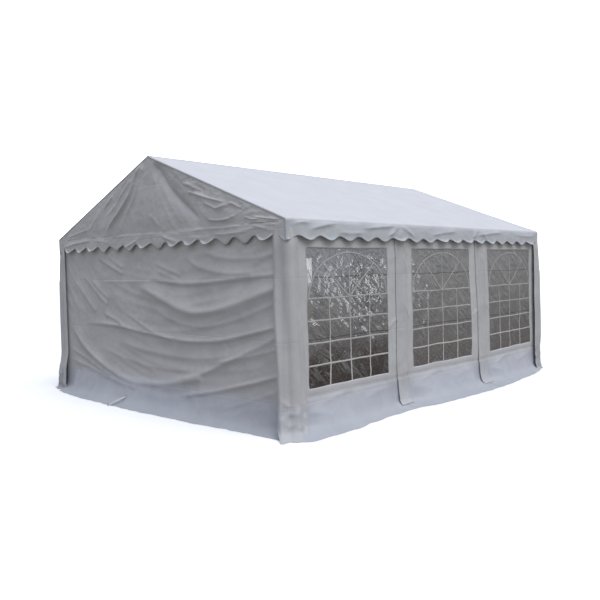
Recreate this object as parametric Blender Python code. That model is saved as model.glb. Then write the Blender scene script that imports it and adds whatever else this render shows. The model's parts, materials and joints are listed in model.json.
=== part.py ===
"""A marquee tent of 5 by 6 metres: a steel tube frame under a roof cover with
scalloped valances, hung with fabric walls that have clear film windows.

The front gable faces -Y and the tent's length runs along Y. The origin is on
the ground, at the middle of the plan. Sizes are in metres.
"""

import math

import bmesh
import bpy
from mathutils import Vector

# The tent's driving sizes, measured over the outside of the fabric
WIDTH = 5.0
LENGTH = 6.0
EAVE_HEIGHT = 2.30
RIDGE_HEIGHT = 3.28
BAYS = 3

# Tubes, fittings and feet
TUBE_RADIUS = 0.019
SLEEVE_RADIUS = 0.023
SLEEVE_LENGTH = 0.13
ARM_STEP = 0.0001
TUBE_SIDES = 12
FRAME_INSET = 0.045
FOOT_SIDE = 0.15
FOOT_THICKNESS = 0.005

# Fabric layers, thicker than real cloth so that they are solids
GAP = 0.0003
SHEET = 0.006
COVER_SHEET = 0.005
FILM = 0.002

# Valance: a straight drop to the notches, then the scallops down to the tips
VALANCE_NOTCH = EAVE_HEIGHT - 0.15
VALANCE_TIP = EAVE_HEIGHT - 0.23
SCALLOP_PITCH = 1.0 / 3.0
SCALLOP_STEPS = 4

# Walls: the foot of each one leans out, then turns outwards over the ground
WALL_TOP = 2.285
WALL_MIDDLE = 1.4
END_WALL_CELLS = 12
SKIRT_START = 0.40
SKIRT_LEAN = 0.45
SKIRT_POWER = 6
SKIRT_ROWS = [0.0, 0.03, 0.08, 0.16, 0.27, SKIRT_START]
SKIRT_AT_CORNER = 0.15
SKIRT_AT_POST = 0.22
SKIRT_MID_BAY = 0.32
SKIRT_GABLE_CORNER = 0.16
SKIRT_GABLE_MID = 0.27

# Windows, one in each bay of the long sides
WINDOW_WIDTH = 1.43
WINDOW_BOTTOM = 0.47
WINDOW_TOP = 2.00
WINDOW_LAP = 0.020
WINDOW_CELLS = 5

# Strips that cover the wall joints at the posts and corners
POST_COVER_NEAR = 0.10
POST_COVER_FAR = 0.17
POST_COVER_TOP = 2.27
CORNER_COVER_GABLE = 0.09
CORNER_COVER_SIDE = 0.21
CORNER_BULGE = 0.80

# Places worked out from the sizes above
HALF_WIDTH = WIDTH / 2
HALF_LENGTH = LENGTH / 2
ROOF_RISE = RIDGE_HEIGHT - EAVE_HEIGHT
ROOF_SLOPE = ROOF_RISE / HALF_WIDTH
ROOF_ANGLE = math.atan(ROOF_SLOPE)
LEG_X = HALF_WIDTH - FRAME_INSET
END_FRAME_Y = HALF_LENGTH - FRAME_INSET
BAY = 2 * END_FRAME_Y / BAYS
FRAME_YS = [-END_FRAME_Y + BAY * i for i in range(BAYS + 1)]
# The sleeves lie just under the roof sheet, square to the slope
AXIS_DROP = (SHEET + GAP + SLEEVE_RADIUS) / math.cos(ROOF_ANGLE)
RIDGE_AXIS_Z = RIDGE_HEIGHT - AXIS_DROP
EAVE_AXIS_Z = RIDGE_HEIGHT - ROOF_SLOPE * LEG_X - AXIS_DROP
WALL_INNER_X = LEG_X + SLEEVE_RADIUS + GAP
WALL_INNER_Y = END_FRAME_Y + SLEEVE_RADIUS + GAP
COVER_OFFSET = SHEET + GAP
ROOF_END_Y = HALF_LENGTH - SHEET - GAP

# Edges sharper than this, in degrees, stay sharp on round pieces
SMOOTH_ANGLE = 40

# Colours are plain stand-ins for the finished surfaces
FABRIC_COLOUR = (0.80, 0.81, 0.84, 1.0)
STRIP_COLOUR = (0.74, 0.75, 0.78, 1.0)
STEEL_COLOUR = (0.52, 0.54, 0.56, 1.0)
FILM_COLOUR = (0.62, 0.64, 0.66, 1.0)


def clear_scene():
    for old in list(bpy.data.objects):
        bpy.data.objects.remove(old)


def make_material(name, colour, roughness, metallic):
    material = bpy.data.materials.new(name)
    material.use_nodes = True
    shader = material.node_tree.nodes["Principled BSDF"]
    shader.inputs["Base Color"].default_value = colour
    shader.inputs["Roughness"].default_value = roughness
    shader.inputs["Metallic"].default_value = metallic
    return material


def add_mesh_object(name, shape, material, smooth=False):
    """Turns a bmesh into a named object with outward faces."""
    bmesh.ops.recalc_face_normals(shape, faces=shape.faces)
    mesh = bpy.data.meshes.new(name)
    shape.to_mesh(mesh)
    shape.free()
    mesh.materials.append(material)
    if smooth:
        mesh.shade_smooth()
        mesh.set_sharp_from_angle(angle=math.radians(SMOOTH_ANGLE))
    thing = bpy.data.objects.new(name, mesh)
    bpy.context.scene.collection.objects.link(thing)
    return thing


def cylinder_between(start, end, radius):
    """A bmesh bar of round section from one point to another."""
    start = Vector(start)
    end = Vector(end)
    run = end - start
    shape = bmesh.new()
    turn = run.to_track_quat("Z", "Y").to_matrix().to_4x4()
    turn.translation = (start + end) / 2
    bmesh.ops.create_cone(
        shape,
        cap_ends=True,
        segments=TUBE_SIDES,
        radius1=radius,
        radius2=radius,
        depth=run.length,
        matrix=turn,
    )
    return shape


def box_shape(low, high):
    """A bmesh block between two corners."""
    low = Vector(low)
    high = Vector(high)
    shape = bmesh.new()
    bmesh.ops.create_cube(shape, size=1.0)
    bmesh.ops.scale(shape, vec=high - low, verts=shape.verts)
    bmesh.ops.translate(shape, vec=(low + high) / 2, verts=shape.verts)
    return shape


def combine(name, shapes, material):
    """Joins overlapping shapes into one body with Boolean unions."""
    body = add_mesh_object(name, shapes[0], material)
    helpers = []
    for number, shape in enumerate(shapes[1:]):
        helper = add_mesh_object(f"{name}_helper_{number}", shape, material)
        join = body.modifiers.new(f"join_{number}", "BOOLEAN")
        join.operation = "UNION"
        join.solver = "EXACT"
        join.object = helper
        helpers.append(helper)
    bpy.context.view_layer.update()
    graph = bpy.context.evaluated_depsgraph_get()
    finished = bpy.data.meshes.new_from_object(body.evaluated_get(graph))
    finished.name = name
    body.modifiers.clear()
    body.data = finished
    for helper in helpers:
        bpy.data.objects.remove(helper)
    finished.shade_smooth()
    finished.set_sharp_from_angle(angle=math.radians(SMOOTH_ANGLE))
    return body


def sheet_solid(name, columns, rows, inner, outer, material, hole=None):
    """A closed solid between two faces that are grids of the same size.

    inner and outer give a point for a column value and a row value. hole gives
    the first and last column and row of the cells that are left open. Each cell
    is split along its shorter diagonal, so that sheets on each other match.
    """
    shape = bmesh.new()
    faces = []
    for place in (inner, outer):
        faces.append([[shape.verts.new(place(c, r)) for r in rows] for c in columns])
    last_column = len(columns) - 1
    last_row = len(rows) - 1

    def is_filled(i, j):
        if not (0 <= i < last_column and 0 <= j < last_row):
            return False
        if hole is None:
            return True
        first_i, end_i, first_j, end_j = hole
        return not (first_i <= i < end_i and first_j <= j < end_j)

    def rim(a, b):
        quad = [faces[0][a[0]][a[1]], faces[0][b[0]][b[1]]]
        quad += [faces[1][b[0]][b[1]], faces[1][a[0]][a[1]]]
        shape.faces.new(quad)

    for i in range(last_column):
        for j in range(last_row):
            if not is_filled(i, j):
                continue
            corners = [(i, j), (i + 1, j), (i + 1, j + 1), (i, j + 1)]
            spots = [faces[1][a][b].co for a, b in corners]
            turned = (spots[0] - spots[2]).length > (spots[1] - spots[3]).length
            order = [1, 2, 3, 0] if turned else [0, 1, 2, 3]
            for grid in faces:
                quad = [grid[corners[k][0]][corners[k][1]] for k in order]
                shape.faces.new([quad[0], quad[1], quad[2]])
                shape.faces.new([quad[0], quad[2], quad[3]])
            neighbours = [(i, j - 1), (i + 1, j), (i, j + 1), (i - 1, j)]
            for side, neighbour in enumerate(neighbours):
                if not is_filled(*neighbour):
                    rim(corners[side], corners[(side + 1) % 4])
    loose = [v for v in shape.verts if not v.link_faces]
    bmesh.ops.delete(shape, geom=loose, context="VERTS")
    return add_mesh_object(name, shape, material, smooth=True)


def even_steps(start, end, count):
    return [start + (end - start) * i / count for i in range(count + 1)]


def roof_height(x):
    """Height of the roof's upper face over a point of the plan."""
    return RIDGE_HEIGHT - ROOF_SLOPE * abs(x)


def scallop_height(distance):
    """Height of the valance's lower edge at a distance from a corner.

    It is a wave with a tip at the corner and at each whole pitch from it.
    """
    phase = 2 * math.pi * distance / SCALLOP_PITCH
    middle = (VALANCE_NOTCH + VALANCE_TIP) / 2
    swing = (VALANCE_NOTCH - VALANCE_TIP) / 2
    return middle - swing * math.cos(phase)


def skirt_reach(share, at_start, at_end, at_middle):
    """How far a wall's foot spreads, for a share of the way along the wall."""
    ends = at_start + (at_end - at_start) * share
    return ends + (at_middle - ends) * math.sin(math.pi * share)


def skirt_profile(z):
    """Share of the foot's reach at a height: none above the start of the skirt.

    It is a straight lean, plus a steep power that turns the foot outwards.
    """
    share = max(0.0, (SKIRT_START - z) / SKIRT_START)
    return SKIRT_LEAN * share + (1 - SKIRT_LEAN) * share**SKIRT_POWER


def side_skirt(y):
    """Spread of a long wall's foot at a place along the tent."""
    along = (y + END_FRAME_Y) / BAY
    bay = min(BAYS - 1, max(0, math.floor(along)))
    at_start = SKIRT_AT_CORNER if bay == 0 else SKIRT_AT_POST
    at_end = SKIRT_AT_CORNER if bay == BAYS - 1 else SKIRT_AT_POST
    share = min(1.0, max(0.0, along - bay))
    return skirt_reach(share, at_start, at_end, SKIRT_MID_BAY)


def gable_skirt(x):
    """Spread of an end wall's foot at a place across the tent."""
    share = min(1.0, max(0.0, (x + LEG_X) / (2 * LEG_X)))
    return skirt_reach(share, SKIRT_GABLE_CORNER, SKIRT_GABLE_CORNER, SKIRT_GABLE_MID)


def build_legs(steel):
    """Eight posts, each a tube that is welded to a square foot plate."""
    top = EAVE_AXIS_Z - SLEEVE_LENGTH - GAP
    for side, sign in (("left", -1), ("right", 1)):
        for number, y in enumerate(FRAME_YS, start=1):
            x = sign * LEG_X
            half = FOOT_SIDE / 2
            tube = cylinder_between((x, y, FOOT_THICKNESS / 2), (x, y, top), TUBE_RADIUS)
            plate = box_shape((x - half, y - half, 0), (x + half, y + half, FOOT_THICKNESS))
            combine(f"{side}_leg_{number}", [plate, tube], steel)


def rafter_direction(sign):
    """Unit vector up the slope, from the eave on one side towards the ridge."""
    return Vector((-sign * math.cos(ROOF_ANGLE), 0.0, math.sin(ROOF_ANGLE)))


def sleeve_arm(node, end, rank):
    """One arm of a fitting, a little slimmer than the last so that no faces meet."""
    return cylinder_between(node, end, SLEEVE_RADIUS - (rank + 1) * ARM_STEP)


def build_eave_rails(steel):
    """One rail on each side: tubes end to end, with a fitting at each frame."""
    for side, sign in (("left", -1), ("right", 1)):
        x = sign * LEG_X
        start = (x, -END_FRAME_Y, EAVE_AXIS_Z)
        end = (x, END_FRAME_Y, EAVE_AXIS_Z)
        shapes = [cylinder_between(start, end, TUBE_RADIUS)]
        for y in FRAME_YS:
            node = Vector((x, y, EAVE_AXIS_Z))
            low = max(-END_FRAME_Y - SLEEVE_RADIUS, y - SLEEVE_LENGTH)
            high = min(END_FRAME_Y + SLEEVE_RADIUS, y + SLEEVE_LENGTH)
            shapes.append(cylinder_between((x, low, node.z), (x, high, node.z), SLEEVE_RADIUS))
            arms = [
                node - Vector((0, 0, SLEEVE_LENGTH)),
                node + rafter_direction(sign) * SLEEVE_LENGTH,
            ]
            if y in (FRAME_YS[0], FRAME_YS[-1]):
                arms.append(node - Vector((sign * SLEEVE_LENGTH, 0, 0)))
            shapes += [sleeve_arm(node, arm, rank) for rank, arm in enumerate(arms)]
        combine(f"{side}_eave_rail", shapes, steel)


def build_ridge_rail(steel):
    """The ridge tubes, with a fitting at each frame that takes both rafters."""
    start = (0, -END_FRAME_Y, RIDGE_AXIS_Z)
    end = (0, END_FRAME_Y, RIDGE_AXIS_Z)
    shapes = [cylinder_between(start, end, TUBE_RADIUS)]
    for y in FRAME_YS:
        node = Vector((0, y, RIDGE_AXIS_Z))
        low = max(-END_FRAME_Y - SLEEVE_RADIUS, y - SLEEVE_LENGTH)
        high = min(END_FRAME_Y + SLEEVE_RADIUS, y + SLEEVE_LENGTH)
        shapes.append(cylinder_between((0, low, node.z), (0, high, node.z), SLEEVE_RADIUS))
        for rank, sign in enumerate((-1, 1)):
            down = node - rafter_direction(sign) * SLEEVE_LENGTH
            shapes.append(sleeve_arm(node, down, rank))
    combine("ridge_rail", shapes, steel)


def build_rafters(steel):
    """Eight sloping tubes between the eave fittings and the ridge fittings."""
    for side, sign in (("left", -1), ("right", 1)):
        up = rafter_direction(sign)
        inset = SLEEVE_LENGTH + GAP
        for number, y in enumerate(FRAME_YS, start=1):
            start = Vector((sign * LEG_X, y, EAVE_AXIS_Z)) + up * inset
            end = Vector((0, y, RIDGE_AXIS_Z)) - up * inset
            tube = cylinder_between(start, end, TUBE_RADIUS)
            add_mesh_object(f"{side}_rafter_{number}", tube, steel, smooth=True)


def build_tie_bars(steel):
    """A level tube across each end frame, which carries the end wall."""
    reach = LEG_X - SLEEVE_LENGTH - GAP
    for end, sign in (("front", -1), ("back", 1)):
        y = sign * END_FRAME_Y
        tube = cylinder_between((-reach, y, EAVE_AXIS_Z), (reach, y, EAVE_AXIS_Z), TUBE_RADIUS)
        add_mesh_object(f"{end}_tie_bar", tube, steel, smooth=True)


def build_roof_cover(fabric):
    """Both slopes and the side valances, one sheet bent at ridge and eaves."""
    scallops = round(LENGTH / SCALLOP_PITCH)
    steps = even_steps(-HALF_LENGTH, HALF_LENGTH, scallops * SCALLOP_STEPS)
    steps[0] = -ROOF_END_Y
    steps[-1] = ROOF_END_Y
    across = SHEET / math.cos(ROOF_ANGLE)
    stations = [-2, -1, 0, 1, 2]

    def outer(y, station):
        if abs(station) == 2:
            return (math.copysign(HALF_WIDTH, station), y, scallop_height(y - HALF_LENGTH))
        return (station * HALF_WIDTH, y, roof_height(station * HALF_WIDTH))

    def inner(y, station):
        x = HALF_WIDTH - SHEET
        if abs(station) == 2:
            return (math.copysign(x, station), y, scallop_height(y - HALF_LENGTH))
        return (station * x, y, roof_height(station * x) - across)

    sheet_solid("roof_cover", steps, stations, inner, outer, fabric)


def build_gables(fabric):
    """The triangle at each end of the roof, with its own scalloped valance."""
    scallops = round(WIDTH / SCALLOP_PITCH)
    steps = even_steps(-HALF_WIDTH, HALF_WIDTH, scallops * SCALLOP_STEPS)
    for end, sign in (("front", -1), ("back", 1)):

        def point(x, row, y):
            height = roof_height(x) if row else scallop_height(x - HALF_WIDTH)
            return (x, y, height)

        def inner(x, row, y=sign * (HALF_LENGTH - SHEET)):
            return point(x, row, y)

        def outer(x, row, y=sign * HALF_LENGTH):
            return point(x, row, y)

        sheet_solid(f"{end}_gable", steps, [0, 1], inner, outer, fabric)


def build_end_walls(fabric):
    """A plain wall under each gable, hung from the tie bar."""
    edge = WALL_INNER_X - GAP
    cover_edge = WALL_INNER_X - CORNER_COVER_GABLE
    columns = [-edge] + even_steps(-cover_edge, cover_edge, END_WALL_CELLS) + [edge]
    rows = SKIRT_ROWS + [WALL_MIDDLE, WALL_TOP]
    for end, sign in (("front", -1), ("back", 1)):

        def face(x, z, depth, sign=sign):
            return (x, sign * (WALL_INNER_Y + depth + gable_skirt(x) * skirt_profile(z)), z)

        def inner(x, z, face=face):
            return face(x, z, 0.0)

        def outer(x, z, face=face):
            return face(x, z, SHEET)

        sheet_solid(f"{end}_wall", columns, rows, inner, outer, fabric)


def build_side_walls(fabric, film):
    """Three walls on each long side, each with a window cut through it."""
    half_window = WINDOW_WIDTH / 2
    rows = SKIRT_ROWS + [WINDOW_BOTTOM, WINDOW_TOP, WALL_TOP]
    window_row = rows.index(WINDOW_BOTTOM)
    for side, sign in (("left", -1), ("right", 1)):
        for bay in range(BAYS):
            start = FRAME_YS[bay] + GAP
            end = FRAME_YS[bay + 1] - GAP
            first_cover = FRAME_YS[bay] + POST_COVER_FAR
            last_cover = FRAME_YS[bay + 1] - POST_COVER_NEAR
            if bay == 0:
                start = -WALL_INNER_Y + GAP
                first_cover = -WALL_INNER_Y + CORNER_COVER_SIDE
            if bay == BAYS - 1:
                end = WALL_INNER_Y - GAP
                last_cover = WALL_INNER_Y - CORNER_COVER_SIDE
            centre = (FRAME_YS[bay] + FRAME_YS[bay + 1]) / 2
            low = centre - half_window
            high = centre + half_window
            before = [start, first_cover]
            columns = before + even_steps(low, high, WINDOW_CELLS) + [last_cover, end]
            hole = (len(before), len(before) + WINDOW_CELLS, window_row, window_row + 1)

            def face(y, z, depth, sign=sign):
                return (sign * (WALL_INNER_X + depth + side_skirt(y) * skirt_profile(z)), y, z)

            def inner(y, z, face=face):
                return face(y, z, 0.0)

            def outer(y, z, face=face):
                return face(y, z, SHEET)

            name = f"{side}_wall_{bay + 1}"
            sheet_solid(name, columns, rows, inner, outer, fabric, hole)
            near = sign * (WALL_INNER_X - GAP)
            far = sign * (WALL_INNER_X - GAP - FILM)
            xs = sorted((near, far))
            pane = box_shape(
                (xs[0], low - WINDOW_LAP, WINDOW_BOTTOM - WINDOW_LAP),
                (xs[1], high + WINDOW_LAP, WINDOW_TOP + WINDOW_LAP),
            )
            add_mesh_object(f"{side}_window_{bay + 1}", pane, film)


def build_post_covers(strip):
    """A strip over each joint between two walls, at the inner posts.

    It is the edge flap of the wall behind it, so it reaches further back than
    it does towards the front gable.
    """
    rows = SKIRT_ROWS[1:] + [POST_COVER_TOP]
    for side, sign in (("left", -1), ("right", 1)):
        for number in range(1, BAYS):
            post = FRAME_YS[number]
            columns = [post - POST_COVER_NEAR, post, post + POST_COVER_FAR]

            def face(y, z, depth, sign=sign):
                return (sign * (WALL_INNER_X + depth + side_skirt(y) * skirt_profile(z)), y, z)

            def inner(y, z, face=face):
                return face(y, z, COVER_OFFSET)

            def outer(y, z, face=face):
                return face(y, z, COVER_OFFSET + COVER_SHEET)

            name = f"{side}_post_cover_{number + 1}"
            sheet_solid(name, columns, rows, inner, outer, strip)


def corner_path(z, depth):
    """Plan of a corner strip at a height, for the corner at +X and +Y.

    It runs along the end wall, rounds the corner and runs along the side wall,
    with depth measured outwards from the wall's inner face.
    """
    spread = skirt_profile(z)
    gable_edge = WALL_INNER_X - CORNER_COVER_GABLE
    side_edge = WALL_INNER_Y - CORNER_COVER_SIDE
    gable = WALL_INNER_Y + depth + gable_skirt(LEG_X) * spread
    side = WALL_INNER_X + depth + side_skirt(END_FRAME_Y) * spread
    middle_x = WALL_INNER_X + (side - WALL_INNER_X) * CORNER_BULGE
    middle_y = WALL_INNER_Y + (gable - WALL_INNER_Y) * CORNER_BULGE
    return [
        (gable_edge, WALL_INNER_Y + depth + gable_skirt(gable_edge) * spread),
        (WALL_INNER_X, gable),
        (middle_x, middle_y),
        (side, WALL_INNER_Y),
        (WALL_INNER_X + depth + side_skirt(side_edge) * spread, side_edge),
    ]


def build_corner_covers(strip):
    """A strip round each corner, which spreads over the walls' feet."""
    rows = SKIRT_ROWS + [POST_COVER_TOP]
    stations = range(len(corner_path(0.0, 0.0)))
    for end, end_sign in (("front", -1), ("back", 1)):
        for side, sign in (("left", -1), ("right", 1)):

            def face(station, z, depth, sign=sign, end_sign=end_sign):
                x, y = corner_path(z, depth)[station]
                return (sign * x, end_sign * y, z)

            def inner(station, z, face=face):
                return face(station, z, COVER_OFFSET)

            def outer(station, z, face=face):
                return face(station, z, COVER_OFFSET + COVER_SHEET)

            name = f"{end}_{side}_corner_cover"
            sheet_solid(name, stations, rows, inner, outer, strip)


def main():
    clear_scene()
    fabric = make_material("white_pvc_fabric", FABRIC_COLOUR, 0.45, 0.0)
    strip = make_material("pvc_joint_strip", STRIP_COLOUR, 0.45, 0.0)
    steel = make_material("galvanised_steel", STEEL_COLOUR, 0.4, 0.9)
    film = make_material("clear_window_film", FILM_COLOUR, 0.08, 0.0)
    build_legs(steel)
    build_eave_rails(steel)
    build_ridge_rail(steel)
    build_rafters(steel)
    build_tie_bars(steel)
    build_roof_cover(fabric)
    build_gables(fabric)
    build_end_walls(fabric)
    build_side_walls(fabric, film)
    build_post_covers(strip)
    build_corner_covers(strip)


main()
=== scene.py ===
# %% [markdown]
# # A marquee tent, dressed in cloth and clear film
#
# The frame of this tent is steel tube, and everything that the eye meets is sheet: a roof cover with
# scalloped edges, two gable triangles, eight walls and six windows of soft film. Sheets like these
# could be sculpted, simulated or worked out. Here each one is a formula over two measures of the flat
# cloth, because then every crease has a place and a size that can be read and changed.

# %% Load the frame
import json
import math

import bpy
import numpy as np
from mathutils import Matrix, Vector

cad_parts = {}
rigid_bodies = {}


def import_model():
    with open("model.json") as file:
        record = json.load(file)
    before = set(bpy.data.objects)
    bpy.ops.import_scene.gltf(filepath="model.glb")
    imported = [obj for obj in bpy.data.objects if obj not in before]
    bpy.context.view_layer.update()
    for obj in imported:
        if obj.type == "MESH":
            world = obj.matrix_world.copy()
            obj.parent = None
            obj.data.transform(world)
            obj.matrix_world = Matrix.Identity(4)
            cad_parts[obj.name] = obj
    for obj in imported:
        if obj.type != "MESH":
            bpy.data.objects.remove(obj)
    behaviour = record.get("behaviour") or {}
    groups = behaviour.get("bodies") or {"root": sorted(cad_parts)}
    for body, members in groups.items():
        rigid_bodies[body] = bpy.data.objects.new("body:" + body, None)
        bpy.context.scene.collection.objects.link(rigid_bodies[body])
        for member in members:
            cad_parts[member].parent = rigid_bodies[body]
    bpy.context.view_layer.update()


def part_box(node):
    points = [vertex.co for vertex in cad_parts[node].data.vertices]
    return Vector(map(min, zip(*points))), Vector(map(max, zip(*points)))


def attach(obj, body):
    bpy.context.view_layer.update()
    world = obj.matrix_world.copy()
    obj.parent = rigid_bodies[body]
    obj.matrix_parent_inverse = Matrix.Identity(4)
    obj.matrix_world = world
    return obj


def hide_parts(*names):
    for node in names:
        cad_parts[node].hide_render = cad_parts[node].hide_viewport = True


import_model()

# %% [markdown]
# ## Sizes
#
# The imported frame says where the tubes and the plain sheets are, so the places below are read from it.
# Only what a box can't tell, such as the height of the eaves, is given as a number. All are in metres.

# %% Sizes read from the frame
HALF_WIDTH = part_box("roof_cover")[1][0]
HALF_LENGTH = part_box("back_gable")[1][1]
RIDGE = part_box("roof_cover")[1][2]
VALANCE_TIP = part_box("roof_cover")[0][2]
EAVE = 2.30
VALANCE_NOTCH = VALANCE_TIP + 0.08
PITCH = 1.0 / 3.0
SIDE_SCALLOPS = round(2 * HALF_LENGTH / PITCH)
END_SCALLOPS = round(2 * HALF_WIDTH / PITCH)

WALL_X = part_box("right_window_1")[1][0] + 0.002
WALL_Y = -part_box("front_wall")[1][1] + 0.001
WALL_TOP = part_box("front_wall")[1][2]
WINDOW_LAP = 0.02
WINDOW_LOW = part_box("right_window_1")[0][2] + WINDOW_LAP
WINDOW_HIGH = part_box("right_window_1")[1][2] - WINDOW_LAP
WINDOW_HALF = (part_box("right_window_1")[1][1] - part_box("right_window_1")[0][1]) / 2 - WINDOW_LAP

POSTS = [sum(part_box(f"right_leg_{n}")[k][1] for k in (0, 1)) / 2 for n in (1, 2, 3, 4)]
BAY_CENTRES = [(a + b) / 2 for a, b in zip(POSTS, POSTS[1:])]

SLOPE = math.atan2(RIDGE - EAVE, HALF_WIDTH)
CLOTH = 0.0015
SIDES = (("left", -1), ("right", 1))
ENDS = (("front", -1), ("back", 1))
print(f"roof {2 * HALF_WIDTH:.2f} by {2 * HALF_LENGTH:.2f} m, slope {math.degrees(SLOPE):.1f} degrees")

# %% [markdown]
# ## Camera
#
# The camera stands at eye level, off the near corner, and looks at it almost level. Its place, turn and
# lens were found from the corners of the tent. A camera in Blender looks along its own -Z, so its matrix
# is built from the way it looks, what is right of it and what is up.

# %% Camera
CAMERA_PLACE = (7.441, -7.883, 1.782)
CAMERA_AZIMUTH = 42.743
CAMERA_DOWN = 2.733
CAMERA_ROLL = -1.301
CAMERA_LENS = 39.97
CAMERA_SHIFT = -0.03


def level_right(ahead):
    """What is right of a thing that looks ahead with its head upright."""
    right = np.cross(ahead, (0, 0, 1))
    return right / np.linalg.norm(right)


def looking(place, right, ahead):
    """The matrix of a thing that looks along its own -Z, from its place and two of its directions."""
    matrix = np.eye(4)
    matrix[:3, 0], matrix[:3, 1], matrix[:3, 2], matrix[:3, 3] = right, np.cross(right, ahead), -ahead, place
    return matrix.T.tolist()


def add_camera():
    """A camera turned about +Z by its azimuth, tipped down, then rolled about the way it looks."""
    turn, down, roll = (math.radians(a) for a in (CAMERA_AZIMUTH, CAMERA_DOWN, CAMERA_ROLL))
    ahead = np.array([-math.sin(turn) * math.cos(down), math.cos(turn) * math.cos(down), -math.sin(down)])
    right = level_right(ahead)
    right = math.cos(roll) * right + math.sin(roll) * np.cross(right, ahead)
    camera = bpy.data.objects.new("camera", bpy.data.cameras.new("camera"))
    camera.data.lens = CAMERA_LENS
    camera.data.shift_x = CAMERA_SHIFT
    bpy.context.scene.collection.objects.link(camera)
    camera.matrix_world = looking(CAMERA_PLACE, right, ahead)
    bpy.context.scene.camera = camera


add_camera()
print("camera at", CAMERA_PLACE)

# %% [markdown]
# ## Materials
#
# A few small helpers serve all of them. One turns a colour as a screen writes it, in sRGB hex, into the
# linear numbers that shaders use. The others give the inputs of a node a value or the output of another
# node, add a node, begin a material, and lay several bumps over each other.


# %% Material helpers
def linear(hex_colour):
    """sRGB hex to linear: c / 12.92 for dark values, otherwise ((c + 0.055) / 1.055) to the power 2.4."""
    values = [int(hex_colour[i : i + 2], 16) / 255 for i in (1, 3, 5)]
    return [c / 12.92 if c <= 0.04045 else ((c + 0.055) / 1.055) ** 2.4 for c in values] + [1.0]


def feed(tree, added, inputs):
    """Gives each input of a node its value, or links another node's output to it."""
    for key, given in inputs.items():
        if isinstance(given, bpy.types.NodeSocket):
            tree.links.new(given, added.inputs[key])
        else:
            added.inputs[key].default_value = given


def node(tree, kind, inputs, output=0, stops=(), **settings):
    """Adds a node with its settings, inputs and ramp stops. It returns one output, or all for None."""
    added = tree.nodes.new("ShaderNode" + kind)
    for key, value in settings.items():
        setattr(added, key, value)
    feed(tree, added, inputs)
    for number, (place, colour) in enumerate(stops):
        elements = added.color_ramp.elements
        element = elements[number] if number < 2 else elements.new(place)
        element.position, element.color = place, linear(colour)
    return added.outputs if output is None else added.outputs[output]


def new_material(name, **sockets):
    """A material, its tree, and its one Principled shader, whose sockets take the values given."""
    material = bpy.data.materials.new(name)
    material.use_nodes = True
    tree = material.node_tree
    shader = tree.nodes["Principled BSDF"]
    feed(tree, shader, {socket.replace("_", " "): value for socket, value in sockets.items()})
    return material, tree, shader


def relief(tree, layers):
    """One normal from several heights, each a (height, distance in metres, strength)."""
    below = {}
    for height, distance, strength in layers:
        inputs = {"Height": height, "Distance": distance, "Strength": strength}
        below = {"Normal": node(tree, "Bump", {**inputs, **below})}
    return below["Normal"]


# %% [markdown]
# ### Coated tent cloth
#
# The white parts are polyester cloth with a soft plastic coating on both faces. The coating gives a
# satin gloss, and the cloth inside keeps the marks of being folded: straight creases every 0.68 m, and
# a crush of small dents between them. The threads are about 1 mm apart, too fine to show in a picture
# of the whole tent, so in their place very shallow bands run both ways, 25 mm apart. Painted shade
# greys the valances of the long sides against the roof, and painted bluish shade darkens walls and
# strips by the ground. Pattern sizes are in metres on the flat cloth, which each piece carries as its
# UV map.

# %% Relief of the cloth
# A Wave node repeats every 2 pi / 20 of a scaled unit, so at this scale its bands are 25 mm apart
BAND_SCALE = 12.5
FOLD_EVERY = 0.68
FOLD_START = 0.32
FOLD_WIDTH = 0.010

# Kinds of dents: the noise, its size in metres, its distortion, and its relief as depth and strength
DENTS = [
    ("RIDGED_MULTIFRACTAL", 0.30, 1.2, 0.010, 0.42),
    ("FBM", 0.11, 1.5, 0.010, 0.30),
    ("FBM", 0.035, 0.8, 0.003, 0.25),
]


def packing_creases(tree, measure):
    """A groove at every packing crease: the distance to the nearest one, from 0 up to the groove's width."""
    shifted = node(tree, "Math", {0: measure, 1: FOLD_START}, operation="SUBTRACT")
    away = node(tree, "Math", {0: shifted, 1: FOLD_EVERY / 2}, operation="PINGPONG")
    inputs = {"Value": away, "From Max": FOLD_WIDTH}
    return node(tree, "MapRange", inputs, interpolation_type="SMOOTHSTEP")


def cloth_relief(tree, flat, slack):
    """The heights of creases, of wrinkles and dents, stronger in slack cloth, and of the bands."""
    sides = node(tree, "SeparateXYZ", {"Vector": flat}, None)
    layers = [(packing_creases(tree, sides["Y"]), 0.003, 0.4)]
    for kind, size, distortion, depth, strength in DENTS:
        inputs = {"Vector": flat, "Scale": 1.0 / size, "Detail": 3.0, "Distortion": distortion}
        layers.append((node(tree, "TexNoise", inputs, noise_type=kind), depth, strength * slack))
    for way in ("X", "Y"):
        inputs = {"Vector": flat, "Scale": BAND_SCALE}
        layers.append((node(tree, "TexWave", inputs, "Fac", bands_direction=way), 0.0002, 0.3))
    return relief(tree, layers)


# %% Colour of the cloth
SOIL = "#B9BAB3"
SOIL_HEIGHT = 0.16
# Painted shade: below the eaves the roof cloth is greyed, and by the ground walls and strips are made darker
# and bluer
GROUND_SHADE_HEIGHTS = (0.48, 0.20)
EAVE_SHADE_HEIGHTS = (2.315, 2.265)
PAINTED_EAVE_SHADE = "#E6E9EB"
PAINTED_COOL_SHADE = "#BFCCEE"


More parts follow.
